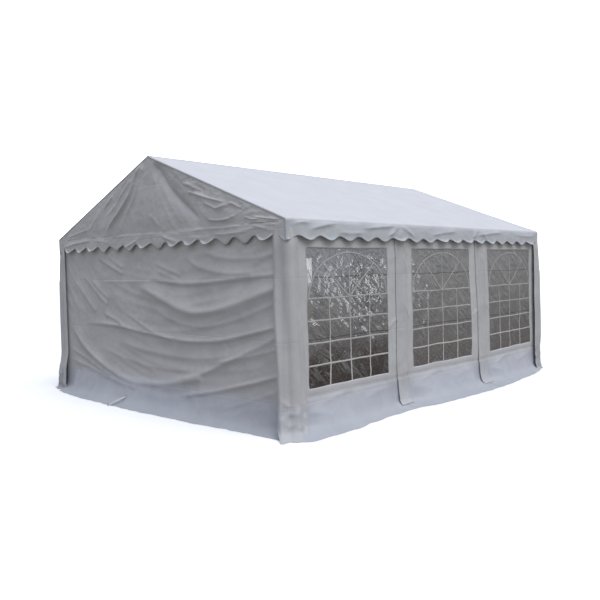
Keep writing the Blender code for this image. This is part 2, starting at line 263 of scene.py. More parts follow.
def coated_cloth(name, light, shade, slack, painted_tint, share, heights):
    """White coated cloth: mottled, a share of painted shade between two heights, and soiled low down."""
    material, tree, shader = new_material(name, Roughness=0.5, IOR=1.46, Specular_IOR_Level=0.4)
    flat = node(tree, "UVMap", {}, uv_map="cloth")
    place = node(tree, "TexCoord", {}, "Object")
    height = node(tree, "SeparateXYZ", {"Vector": place}, "Z")
    mottled = node(tree, "TexNoise", {"Vector": flat, "Scale": 2.2, "Detail": 5.0, "Roughness": 0.6})
    white = node(tree, "ValToRGB", {"Fac": mottled}, stops=[(0.35, shade), (0.65, light)])
    # Painted shade: between the two heights a share of the greying or bluish colour is multiplied in
    inputs = {"Value": height, "From Min": heights[0], "From Max": heights[1], "To Max": share}
    painted_shade_share = node(tree, "MapRange", inputs, interpolation_type="SMOOTHSTEP")
    inputs = {"Fac": painted_shade_share, "Color1": white, "Color2": linear(painted_tint)}
    shade_painted = node(tree, "MixRGB", inputs, blend_type="MULTIPLY")
    inputs = {"Value": height, "From Min": SOIL_HEIGHT, "From Max": 0.0, "To Max": 0.35}
    low = node(tree, "MapRange", inputs)
    spots = node(tree, "TexNoise", {"Vector": flat, "Scale": 9.0, "Detail": 6.0, "Roughness": 0.7})
    dirt = node(tree, "Math", {0: low, 1: spots}, operation="MULTIPLY")
    soiled = node(tree, "MixRGB", {"Fac": dirt, "Color1": shade_painted, "Color2": linear(SOIL)})
    feed(tree, shader, {"Base Color": soiled, "Normal": cloth_relief(tree, flat, slack)})
    print(f"{name}: {len(tree.nodes)} nodes")
    return material


# The roof's valances get painted grey shade; walls and strips get painted bluish shade by the ground
roof_material = coated_cloth("coated_roof_cloth", "#E9E9EB", "#E3E3E5", 0.35, PAINTED_EAVE_SHADE, 0.9, EAVE_SHADE_HEIGHTS)
wall_material = coated_cloth("coated_wall_cloth", "#DFDEDD", "#D4D3D3", 1.0, PAINTED_COOL_SHADE, 0.36, GROUND_SHADE_HEIGHTS)
strip_material = coated_cloth("coated_joint_strip", "#DCDBDA", "#CFCECE", 0.8, PAINTED_COOL_SHADE, 0.15, GROUND_SHADE_HEIGHTS)

# %% [markdown]
# ### Window film
#
# The windows are soft, clear plastic film, about half a millimetre thick and drawn here as one layer.
# Seen from outside in daylight they look dark, because the tent behind them is dark, and they glint
# where the film ripples. So the film is partly see-through and very smooth with ripples, and its colour
# carries painted shade: grey-brown that deepens towards the ground, most in the first bay, with a
# painted pale reflection near the top. Creases whiten such film for good: thin pale lines run where a
# noise crosses its middle value. These lines are partly painted glints, and low down they are fainter.
# The windows of the first bay also have a patch that was crushed, with painted sparkles, and painted
# shade darkens the film along its packing creases.

# %% Window film
RIPPLE = 0.075
WRINKLE_LENGTH = 0.42
WRINKLE_WIDTH = 0.075
WRINKLE_TILT = -40
CRINKLE = 0.050
SPARKLE = 0.026
# The first bay's crushed patch: its dents, and painted sparkles in its colour
CRUSH_AND_SPARKLE_AT = (-1.70, 1.56)
CRUSH_AND_SPARKLE_REACH = 0.58
# Painted shade and reflection: dark grey-brown low down, most in the first bay, and pale at the top
NEAR_BAY_PAINTED_TINT = [(0.03, "#57493F"), (0.20, "#70655D"), (0.33, "#9C9692"), (0.60, "#B5B2AE"), (0.85, "#E0E0E6")]
FAR_BAY_PAINTED_TINT = [(0.05, "#9A928B"), (0.30, "#A8A39D"), (0.65, "#C0BDB8"), (1.0, "#D4D2CE")]
PAINTED_SPARKLE_SHADES = [(0.36, "#6A6866"), (0.50, "#A8A8AC"), (0.66, "#FFFFFF")]
# Whitening and painted glint: the colour of the pale crease lines
WHITENING_AND_GLINT = "#FAFBFF"


def crease_lines(tree, vector, width, size=1.0):
    """Thin lines where a noise crosses its middle value: 1 on the line, 0 at a width past it."""
    inputs = {"Vector": vector, "Scale": 1.0 / size, "Detail": 2.0, "Distortion": 0.9}
    past = node(tree, "Math", {0: node(tree, "TexNoise", inputs), 1: 0.5}, operation="SUBTRACT")
    past = node(tree, "Math", {0: past}, operation="ABSOLUTE")
    return node(tree, "MapRange", {"Value": past, "From Max": width, "To Min": 1.0, "To Max": 0.0})


def crush_and_sparkle_share(tree, flat):
    """1 where a window's crush and painted sparkle are most, 0 past the patch's reach, with a ragged rim."""
    away = node(tree, "VectorMath", {0: flat, 1: (*CRUSH_AND_SPARKLE_AT, 0.0)}, "Value", operation="DISTANCE")
    rim = node(tree, "TexNoise", {"Vector": flat, "Scale": 5.0, "Detail": 3.0})
    ragged = node(tree, "Math", {0: rim, 1: 0.5, 2: -0.25}, operation="MULTIPLY_ADD")
    away = node(tree, "Math", {0: away, 1: ragged}, operation="ADD")
    inputs = {"Value": away, "From Min": 0.25 * CRUSH_AND_SPARKLE_REACH, "From Max": CRUSH_AND_SPARKLE_REACH}
    return node(tree, "MapRange", {**inputs, "To Min": 1.0, "To Max": 0.0})


# %% Film tint, with painted shade and reflection
def painted_film_tint(tree, flat, sides):
    """Film colour with painted shade, darker low down, most so in the first bay, and the level it reads."""
    inputs = {"Value": sides["Y"], "From Min": WINDOW_LOW, "From Max": WINDOW_HIGH}
    level = node(tree, "MapRange", {**inputs, "To Min": -0.15, "To Max": 0.85})
    clouds = node(tree, "TexNoise", {"Vector": flat, "Scale": 4.0, "Detail": 5.0, "Roughness": 0.6})
    uneven = node(tree, "Math", {0: clouds, 1: 0.3, 2: level}, operation="MULTIPLY_ADD")
    near = node(tree, "ValToRGB", {"Fac": uneven}, stops=NEAR_BAY_PAINTED_TINT)
    far = node(tree, "ValToRGB", {"Fac": uneven}, stops=FAR_BAY_PAINTED_TINT)
    inputs = {"Value": sides["X"], "From Min": POSTS[1] - 0.2, "From Max": POSTS[1] + 0.2}
    bay = node(tree, "MapRange", inputs)
    return node(tree, "MixRGB", {"Fac": bay, "Color1": near, "Color2": far}), level


def film_wear(tree, flat, level):
    """Heights of slanted and upright wrinkles and dents, and crease lines: whitening and painted glint."""
    turned = (0, 0, math.radians(WRINKLE_TILT))
    inputs = {"Vector": flat, "Rotation": turned, "Scale": (WRINKLE_LENGTH, WRINKLE_WIDTH, 1)}
    slanted = node(tree, "Mapping", inputs, vector_type="TEXTURE")
    inputs = {"Vector": flat, "Scale": (WRINKLE_WIDTH, WRINKLE_LENGTH, 1)}
    upright = node(tree, "Mapping", inputs, vector_type="TEXTURE")
    patches = node(tree, "TexNoise", {"Vector": flat, "Scale": 2.6, "Detail": 1.0})
    slack = node(tree, "MapRange", {"Value": patches, "From Min": 0.44, "From Max": 0.60, "To Min": 0.12})
    streaks = node(tree, "Math", {0: crease_lines(tree, slanted, 0.085), 1: slack}, operation="MULTIPLY")
    high = node(tree, "MapRange", {"Value": level, "From Min": 0.45, "From Max": 0.70})
    falls = node(tree, "Math", {0: crease_lines(tree, upright, 0.040), 1: high}, operation="MULTIPLY")
    crinkles = crease_lines(tree, flat, 0.030, CRINKLE)
    lines = node(tree, "Math", {0: streaks, 1: falls}, operation="MAXIMUM")
    lines = node(tree, "Math", {0: lines, 1: crinkles}, operation="MAXIMUM")
    # Partly painted glint: the pale lines are made stronger higher up
    share = node(tree, "Math", {0: level, 1: 0.40, 2: 0.38}, operation="MULTIPLY_ADD")
    pale_and_glinting = node(tree, "Math", {0: lines, 1: share}, operation="MULTIPLY")
    return [(streaks, 0.012, 0.9), (falls, 0.006, 0.7), (crinkles, 0.004, 0.6)], pale_and_glinting


# %% Film material
def window_film():
    """Clear film: see-through, glossy, rippled and wrinkled, white creases, painted shade and glints."""
    sockets = {"Roughness": 0.10, "IOR": 1.50, "Alpha": 0.60, "Coat_Weight": 1.0, "Coat_Roughness": 0.06}
    material, tree, shader = new_material("clear_window_film", **sockets)
    flat = node(tree, "UVMap", {}, uv_map="cloth")
    sides = node(tree, "SeparateXYZ", {"Vector": flat}, None)
    shade, level = painted_film_tint(tree, flat, sides)
    layers, pale_and_glinting = film_wear(tree, flat, level)
    whitened_and_glinting = node(tree, "MixRGB", {"Fac": pale_and_glinting, "Color1": shade, "Color2": linear(WHITENING_AND_GLINT)})
    crush_and_sparkle = crush_and_sparkle_share(tree, flat)
    # Painted sparkles: in the crushed patch the dents' noise is painted from dark grey to white
    inputs = {"Vector": flat, "Scale": 1.0 / SPARKLE, "Detail": 2.0, "Roughness": 0.6, "Distortion": 1.0}
    dents = node(tree, "TexNoise", inputs)
    sparkles = node(tree, "ValToRGB", {"Fac": dents}, stops=PAINTED_SPARKLE_SHADES)
    share = node(tree, "Math", {0: crush_and_sparkle, 1: 0.85}, operation="MULTIPLY")
    whitened_and_sparkling = node(tree, "MixRGB", {"Fac": share, "Color1": whitened_and_glinting, "Color2": sparkles})
    # Painted shade: the film is darkened along its packing creases
    packed = packing_creases(tree, sides["Y"])
    painted_crease_shade = node(tree, "MapRange", {"Value": packed, "To Min": 0.45})
    inputs = {"Fac": 1.0, "Color1": whitened_and_sparkling, "Color2": painted_crease_shade}
    crease_shaded = node(tree, "MixRGB", inputs, blend_type="MULTIPLY")
    dented = node(tree, "Math", {0: dents, 1: crush_and_sparkle}, operation="MULTIPLY")
    inputs = {"Vector": flat, "Scale": 1.0 / RIPPLE, "Detail": 3.0, "Distortion": 1.2}
    ripples = node(tree, "TexNoise", inputs)
    layers = layers + [(packed, 0.004, 0.5), (ripples, 0.012, 0.35), (dented, 0.006, 0.5)]
    feed(tree, shader, {"Base Color": crease_shaded, "Normal": relief(tree, layers)})
    print(f"{material.name}: {len(tree.nodes)} nodes")
    return material


film_material = window_film()

# %% [markdown]
# ### Steel, bars and cord
#
# The tubes are steel, galvanised in a hot bath, which leaves a dull, patchy grey. The window bars are
# pale plastic strips welded onto the film. The tie is braided white cord.

# %% Steel, bars and cord
CRYSTALS_PER_METRE = 65.0
BAR_GRAIN = 0.006
CORD_GRAIN = 0.002
# Painted shade: the bars are made duller towards the top
BAR_PAINTED_SHADES = [(0.0, "#EAE5DD"), (0.45, "#C9C6C2"), (0.75, "#C6C4C2"), (1.0, "#C6C5C4")]


def galvanised_steel():
    """Zinc-coated steel: crystals of zinc about 15 mm wide, each a little lighter or duller."""
    material, tree, shader = new_material("galvanised_steel", Metallic=1.0)
    place = node(tree, "TexCoord", {}, "Object")
    crystals = node(tree, "TexVoronoi", {"Vector": place, "Scale": CRYSTALS_PER_METRE}, "Color")
    patch = node(tree, "SeparateColor", {"Color": crystals}, "Red")
    grey = node(tree, "ValToRGB", {"Fac": patch}, stops=[(0.0, "#8E9296"), (1.0, "#A9ADB0")])
    gloss = node(tree, "MapRange", {"Value": patch, "To Min": 0.36, "To Max": 0.52})
    feed(tree, shader, {"Base Color": grey, "Roughness": gloss})
    return material


def welded_bar():
    """Pale plastic bars with a fine grain and painted shade, which makes them duller towards the top."""
    material, tree, shader = new_material("welded_plastic_bar", Roughness=0.4)
    place = node(tree, "TexCoord", {}, "Object")
    height = node(tree, "SeparateXYZ", {"Vector": place}, "Z")
    inputs = {"Value": height, "From Min": WINDOW_LOW, "From Max": WINDOW_HIGH}
    level = node(tree, "MapRange", {**inputs, "To Min": -0.1, "To Max": 0.9})
    grains = node(tree, "TexNoise", {"Vector": place, "Scale": 1.0 / BAR_GRAIN, "Detail": 3.0})
    level = node(tree, "Math", {0: grains, 1: 0.2, 2: level}, operation="MULTIPLY_ADD")
    # Painted shade: the bars' colour goes duller with height
    shade = node(tree, "ValToRGB", {"Fac": level}, stops=BAR_PAINTED_SHADES)
    feed(tree, shader, {"Base Color": shade, "Normal": relief(tree, [(grains, 0.0005, 0.3)])})
    return material


def braided_cord():
    """White cord whose braid is faintly lighter and darker, and just felt."""
    material, tree, shader = new_material("white_braided_cord", Roughness=0.8)
    place = node(tree, "TexCoord", {}, "Object")
    grains = node(tree, "TexNoise", {"Vector": place, "Scale": 1.0 / CORD_GRAIN, "Detail": 3.0})
    shade = node(tree, "ValToRGB", {"Fac": grains}, stops=[(0.3, "#EAEAE8"), (0.7, "#F6F6F4")])
    feed(tree, shader, {"Base Color": shade, "Normal": relief(tree, [(grains, 0.0005, 0.3)])})
    return material


steel_material, bar_material, cord_material = galvanised_steel(), welded_bar(), braided_cord()
print("materials:", ", ".join(m.name for m in (steel_material, bar_material, cord_material)))

# %% [markdown]
# ## Sheets as grids
#
# A sheet is a grid of points, with rows one way and columns the other. The points say where the cloth
# hangs, and a second grid says where each point lies on the flat cloth. Faces are the cells between
# points. A Solidify modifier then makes each sheet 1.5 mm thick, where real cloth is nearer 0.6 mm.


# %% Sheets as grids
def mesh_from_grid(name, points, flat, outward, keep=None):
    """A mesh whose faces are the cells of a grid of points, turned so that they face outward."""
    rows, columns = points.shape[:2]
    numbers = np.arange(rows * columns).reshape(rows, columns)
    quads = np.stack([numbers[:-1, :-1], numbers[:-1, 1:], numbers[1:, 1:], numbers[1:, :-1]], axis=-1)
    quads = quads[keep] if keep is not None else quads.reshape(-1, 4)
    places = points.reshape(-1, 3)
    across = places[quads[:, 2]] - places[quads[:, 0]]
    along = places[quads[:, 3]] - places[quads[:, 1]]
    if (np.cross(across, along).sum(axis=0) @ np.asarray(outward)) < 0:
        quads = quads[:, ::-1]
    used, quads = np.unique(quads, return_inverse=True)
    quads = quads.reshape(-1, 4)
    mesh = bpy.data.meshes.new(name)
    mesh.vertices.add(len(used))
    mesh.vertices.foreach_set("co", places[used].astype(np.float32).ravel())
    mesh.loops.add(quads.size)
    mesh.loops.foreach_set("vertex_index", quads.astype(np.int32).ravel())
    mesh.polygons.add(len(quads))
    mesh.polygons.foreach_set("loop_start", np.arange(0, quads.size, 4, dtype=np.int32))
    mesh.polygons.foreach_set("use_smooth", np.ones(len(quads), dtype=bool))
    mesh.update(calc_edges=True)
    layer = mesh.uv_layers.new(name="cloth")
    layer.data.foreach_set("uv", flat.reshape(-1, 2)[used][quads.ravel()].astype(np.float32).ravel())
    return mesh


def add_piece(name, mesh, material):
    """Links a mesh as an object that rides on the tent."""
    mesh.materials.append(material)
    piece = bpy.data.objects.new(name, mesh)
    bpy.context.scene.collection.objects.link(piece)
    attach(piece, "root")
    return piece


def add_sheet(name, points, flat, outward, material, keep=None):
    """A sheet of cloth: the grid as a mesh, made thick towards its inner face."""
    piece = add_piece(name, mesh_from_grid(name, points, flat, outward, keep), material)
    solid = piece.modifiers.new("thickness", "SOLIDIFY")
    solid.thickness = CLOTH
    solid.offset = -1.0
    return piece


# %% [markdown]
# ## Folds and wrinkles
#
# Two kinds of shape make cloth look like cloth. Wrinkles are random, and come from gradient noise: a
# lattice of random directions whose slopes are blended. Folds have a cause, such as a pull from a
# corner, so each is a line with a height, and the cloth rises towards it like a tent over a rope.


# %% Folds and wrinkles
LINE_ROUNDS = 3
CREST = 0.006
LATTICE = 64


def fade(t):
    """The quintic blend 6t^5 - 15t^4 + 10t^3, which starts and ends level."""
    return t * t * t * (t * (t * 6 - 15) + 10)


def step(low, high, x):
    """0 below low, 1 above high, and a smooth rise between them. It falls if low is above high."""
    t = np.clip((x - low) / (high - low), 0.0, 1.0)
    return t * t * (3 - 2 * t)


def noise(a, b, seed):
    """Gradient noise, about -1 to 1: each lattice corner has a random slope, and slopes are blended."""
    angles = np.random.default_rng(seed).uniform(0, 2 * np.pi, (LATTICE, LATTICE))
    i, j = np.floor(a).astype(int), np.floor(b).astype(int)
    s, t = a - i, b - j

    def corner(di, dj):
        angle = angles[(i + di) % LATTICE, (j + dj) % LATTICE]
        return np.cos(angle) * (s - di) + np.sin(angle) * (t - dj)

    u, v = fade(s), fade(t)
    low = corner(0, 0) * (1 - u) + corner(1, 0) * u
    high = corner(0, 1) * (1 - u) + corner(1, 1) * u
    return 1.5 * (low * (1 - v) + high * v)


def crumple(a, b, size, seed, octaves=3):
    """Crushed cloth: sharp ridges where noise crosses zero, in octaves that halve and turn."""
    total = np.zeros(np.broadcast(a, b).shape)
    for k in range(octaves):
        angle = 0.7 + 2.4 * k
        p = (math.cos(angle) * a - math.sin(angle) * b) / size * 2**k
        q = (math.sin(angle) * a + math.cos(angle) * b) / size * 2**k
        warp = 0.35 * noise(q * 0.6 + 9.0, p * 0.6, seed + 50 + k)
        total += (0.35 - np.sqrt(noise(p + warp, q, seed + k) ** 2 + 0.004)) * 0.5**k
    return total


def rounded_line(points):
    """A bent line with its corners cut off again and again, which leaves a smooth curve."""
    line = np.array(points, float)
    for _ in range(LINE_ROUNDS):
        near = 0.75 * line[:-1] + 0.25 * line[1:]
        far = 0.25 * line[:-1] + 0.75 * line[1:]
        line = np.concatenate([line[:1], np.stack([near, far], axis=1).reshape(-1, 2), line[-1:]])
    return line


def fold(a, b, points, height, above, below, crest, ends):
    """The rise of one fold: height times e to the minus (distance past the round crest) over a width.

    The width is above on the left of the line and below on its right, and three tenths of the height
    fall off in a quarter of that width, which gives the crease its edge. Its ends fade over a share of
    its length.
    """
    line = rounded_line(points)
    start, run = line[:-1], np.diff(line, axis=0)
    length = np.hypot(run[:, 0], run[:, 1])
    before = np.concatenate([[0.0], np.cumsum(length)])[:-1]
    nearest = np.full(np.broadcast(a, b).shape, 1e9)
    along = np.zeros_like(nearest)
    side = np.zeros_like(nearest)
    for (sx, sy), (rx, ry), piece, done in zip(start, run, length, before):
        share = np.clip(((a - sx) * rx + (b - sy) * ry) / piece**2, 0, 1)
        off = np.hypot(a - sx - share * rx, b - sy - share * ry)
        closer = off < nearest
        nearest = np.where(closer, off, nearest)
        along = np.where(closer, (done + share * piece) / length.sum(), along)
        side = np.where(closer, rx * (b - sy) - ry * (a - sx), side)
    width = np.where(side > 0, above, below)
    past = np.sqrt(nearest**2 + crest**2) - crest
    shape = 0.7 * np.exp(-past / width) + 0.3 * np.exp(-4 * past / width)
    taper = step(0, max(ends[0], 1e-6), along) * step(1, 1 - max(ends[1], 1e-6), along)
    return height * shape * taper


def folds(a, b, table, ends=(0.25, 0.25)):
    """The sum of a table of folds, each a line, a height, two widths, and a crest if it has its own."""
    total = 0.0
    for line, height, above, below, *crest in table:
        total = total + fold(a, b, line, height, above, below, *(crest or [CREST]), ends)
    return total


def pleats(a, b, seed):
    """Thin sharp ridges where noise crosses zero; stretching a or b makes them long."""
    return 0.4 - np.sqrt(noise(a, b, seed) ** 2 + 0.003)


def pitch_wave(distance):
    """1 at each whole pitch and 0 half way between, as a cosine."""
    return 0.5 + 0.5 * np.cos(2 * np.pi * distance / PITCH)


# %% [markdown]
# ## Roof cover
#
# The cover is one sheet over both slopes, pulled tight over ridge, rafters and eaves. It sags a little
# between the rafters, and its edge hangs as a valance cut in scallops. The tips of the scallops have
# curled outwards, each by its own amount, and catch the light. The sheet is a cross-section carried
# along the tent: a slope, a bend over the rail, and a drop whose length follows the scallops.

# %% The valance's drop, shared by roof and gables
TIP_LENGTH = 0.050
SIDE_NOTCH = 0.062
SIDE_DEPTH = 0.052
SIDE_CURLS = [0.9, 0.7, 0.9, 0.3, 0.2, 0.3, 1.6, 0.4, 0.5, 1.6, 1.2, 1.5, 1.2, 1.1, 0.4, 0.4, 0.5, 1.3, 0.6]
END_CURLS = [0.6, 1.9, 1.6, 1.9, 0.4, -0.3, 0.4, 1.9, -0.3, 1.7, 1.8, 1.9, -0.3, -0.3, 1.9, 0.5]


def tip_depth(distance):
    """How far the scalloped edge hangs below the notches."""
    return (VALANCE_NOTCH - VALANCE_TIP) * pitch_wave(distance)


def lobe_curl(distance, curls):
    """The curl of the lobe that a point belongs to, full at its tip and none at its notches."""
    curls = np.asarray(curls)
    lobe = np.clip(np.round(distance / PITCH).astype(int), 0, len(curls) - 1)
    return curls[lobe] * pitch_wave(distance)


def drop_shape(share, length, curl, billow):
    """How far out and how far down the valance is, at a share of its length.

    It hangs straight but for a billow, a sine over its length. Its last stretch turns by the curl, so
    it is an arc: out by (1 - cos) / curvature and down by sin / curvature.
    """
    reach = share * length
    turned = np.clip((reach - (length - TIP_LENGTH)) / TIP_LENGTH, 0, None)
    curl = np.where(np.abs(curl) < 1e-3, 1e-3, curl)
    radius = TIP_LENGTH / curl
    out = radius * (1 - np.cos(curl * turned)) + billow * np.sin(0.9 * np.pi * share)
    down = np.minimum(reach, length - TIP_LENGTH) + radius * np.sin(curl * turned)
    return out, down


# %% Roof cover
EAVE_LIFT = 0.015
EAVE_BEND = 0.030
RIDGE_BEND = 0.040
RIM_BEND = 0.012
RIM_FLAP = 0.012
SAG = 0.030
SLOPE_CLOTH = 2.7
DROP_START = 2.75
SLOPE_ROWS = 46
BEND_ROWS = 6
DROP_ROWS = 16
LOBE_COLUMNS = 12
EAVE_CORNER = EAVE + EAVE_LIFT
EAVE_CUT = EAVE_BEND * math.tan((math.pi / 2 - SLOPE) / 2)
RIDGE_CUT = RIDGE_BEND * math.tan(SLOPE / 2)

# Each fold of the side valance: its line in metres along the tent and up, its height and two widths
SIDE_VALANCE_FOLDS = [
    ([(-2.99, 2.22), (-2.85, 2.27), (-2.6, 2.29)], 0.015, 0.02, 0.02),
    ([(-2.7, 2.19), (-2.5, 2.24), (-2.2, 2.28)], 0.0195, 0.03, 0.02),
    ([(-1.8, 2.23), (-1.39, 2.26), (-1.02, 2.3)], 0.018, 0.03, 0.02),
    ([(-0.99, 2.3), (-0.79, 2.2), (-0.66, 2.13)], 0.021, 0.02, 0.02),
    ([(-1.02, 2.3), (-1.17, 2.19), (-1.28, 2.15)], 0.0195, 0.02, 0.02),
    ([(-0.94, 2.28), (-0.97, 2.2), (-1.02, 2.13)], 0.0135, 0.015, 0.015),
    ([(-0.35, 2.18), (-0.01, 2.22), (0.43, 2.26)], 0.015, 0.03, 0.02),
    ([(0.82, 2.19), (1.24, 2.24), (1.77, 2.27)], 0.018, 0.03, 0.02),
    ([(0.98, 2.3), (0.85, 2.22), (0.8, 2.14)], 0.018, 0.02, 0.02),
    ([(1.0, 2.29), (1.1, 2.21), (1.22, 2.15)], 0.0165, 0.02, 0.02),
    ([(-2.22, 2.18), (-1.95, 2.17), (-1.72, 2.19)], 0.012, 0.02, 0.02),
    ([(2.1, 2.25), (2.45, 2.22), (2.9, 2.24)], 0.012, 0.02, 0.02),
]


def slope_section():
    """Places and outward directions across one half of the roof, from the ridge to the eave's bend.

    Each row is out, height, turn from upright, and how far down the slope it is, from 0 to 1.
    """
    pitch = math.atan2(RIDGE - EAVE_CORNER, HALF_WIDTH)
    top = RIDGE - RIDGE_BEND * (1 / math.cos(pitch) - 1)
    turns = np.linspace(0, pitch, 4)[:-1]
    ridge = [(RIDGE_BEND * math.sin(t), top - RIDGE_BEND * (1 - math.cos(t)), t, 0.0) for t in turns]
    shares = np.linspace(0, 1, SLOPE_ROWS)
    reach = RIDGE_CUT + shares * (HALF_WIDTH / math.cos(pitch) - RIDGE_CUT - EAVE_CUT)
    slope = [(r * math.cos(pitch), RIDGE - r * math.sin(pitch), pitch, s) for r, s in zip(reach, shares)]
    turns = np.linspace(pitch, math.pi / 2, BEND_ROWS)[1:]
    out, up = HALF_WIDTH - EAVE_BEND, EAVE_CORNER - EAVE_CUT
    eave = [(out + EAVE_BEND * math.sin(t), up + EAVE_BEND * math.cos(t), t, 1.0) for t in turns]
    return np.array(ridge + slope + eave)


def roof_columns():
    """Places along the tent, then how far each has turned down over the gable at the roof's ends."""
    inner = np.linspace(-HALF_LENGTH, HALF_LENGTH, SIDE_SCALLOPS * LOBE_COLUMNS + 1)
    inner = inner[(abs(inner) < HALF_LENGTH - RIM_BEND)]
    turns = np.linspace(0, math.pi / 2, 4)
    end_y = np.append(HALF_LENGTH - RIM_BEND + RIM_BEND * np.sin(turns), HALF_LENGTH)
    end_drop = np.append(RIM_BEND * (1 - np.cos(turns)), RIM_BEND + RIM_FLAP)
    y = np.concatenate([-end_y[::-1], inner, end_y])
    drop = np.concatenate([end_drop[::-1], np.zeros(len(inner)), end_drop])
    return y, drop


def roof_wrinkles(y, share, seed):
    """Sag between rafters, a faint crush, and small puckers where the cloth meets the eave."""
    distance = np.min([np.abs(y - post) for post in POSTS], axis=0)
    bay = POSTS[1] - POSTS[0]
    sag = -SAG * np.sin(np.pi * np.clip(distance / bay, 0, 1)) ** 1.5 * np.sin(np.pi * share) ** 0.8
    down = share * 2.6
    crush = 0.006 * crumple(y, down, 0.42, seed)
    puckers = 0.005 * noise(y / 0.09, down / 0.5, seed + 7) * step(0.80, 1.0, share)
    return sag + (crush + puckers) * step(0.0, 0.04, share)


def side_drop(y, section_top, seed, curls, length_share, mirror):
    """The drop on one side: hung, curled at its tips, and creased by the pull of the posts."""
    distance = np.clip(y + HALF_LENGTH, 0, 2 * HALF_LENGTH)
    away = np.minimum(distance, 2 * HALF_LENGTH - distance)
    free = step(0.0, 0.3, away)
    length = section_top - VALANCE_TIP - SIDE_NOTCH + SIDE_DEPTH * pitch_wave(distance)
    billow = 0.005 * (1 + noise(distance / 0.45, 3.0, seed + 2)) * free
    curl = lobe_curl(distance, curls) * step(0.0, 0.02, away)
    out, down = drop_shape(length_share, length, curl, billow)
    z = section_top - down
    table = [([(mirror * py, pz) for py, pz in line], *sizes) for line, *sizes in SIDE_VALANCE_FOLDS]
    out = out + folds(y, z, table, (0.3, 0.3)) * free
    crush = 0.006 * crumple(y, z, 0.16, seed + 4) * free * step(0.0, 0.2, length_share)
    flutter = 0.007 * noise(distance / 0.16, 0.0, seed + 3) * free * length_share**2
    return out + crush + flutter + (0.004 + 0.018 * length_share) * free, z, length


def build_roof():
    """Both slopes and both valances as one grid, rows across the tent and columns along it."""
    section = slope_section()
    y, end_drop = roof_columns()
    out, up, turn, share = (section[:, k][:, None] for k in range(4))
    part = np.linspace(0, 1, DROP_ROWS)[1:, None]
    grid_y = np.broadcast_to(y, (len(part), len(y)))
    halves = []
    for sign, seed, curls in ((-1, 31, SIDE_CURLS[::-1]), (1, 11, SIDE_CURLS)):
        lift = roof_wrinkles(y[None, :], share, seed) * (end_drop < 1e-6) - end_drop
        drop_out, drop_up, length = side_drop(grid_y, EAVE_CORNER - EAVE_CUT, seed, curls, part, sign)
        across = np.concatenate([out + np.sin(turn) * lift, HALF_WIDTH + drop_out - end_drop])
        height = np.concatenate([up + np.cos(turn) * lift, drop_up])
        flat = np.concatenate([np.broadcast_to(share * SLOPE_CLOTH, lift.shape), DROP_START + part * length])
        along = np.broadcast_to(y, across.shape)
        spots = np.stack([sign * across, along, height], axis=-1)
        halves.append((spots, np.stack([along, sign * flat], axis=-1)))
    (left, left_flat), (right, right_flat) = halves
    points = np.concatenate([left[::-1][:-1], right])
    flat = np.concatenate([left_flat[::-1][:-1], right_flat])
    piece = add_sheet("roof_cloth", points, flat, (0, 0, 1), roof_material)
    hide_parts("roof_cover")


build_roof()

# %% [markdown]
# ## Gables
#
# Each gable is a triangle that is laced to the end rafters, with its own valance below a seam at eave
# height. The cloth hangs from the peak, so its folds fan out from there, and the seam puckers. Rows run
# from the scalloped edge up to the slope, so the grid bends itself to the triangle.

# %% Gables
GABLE_Y = HALF_LENGTH - 0.003
SEAM = EAVE - 0.012
TRIANGLE_ROWS = 60
GABLE_COLUMNS = 16
PEAK = (0.0, 3.26)

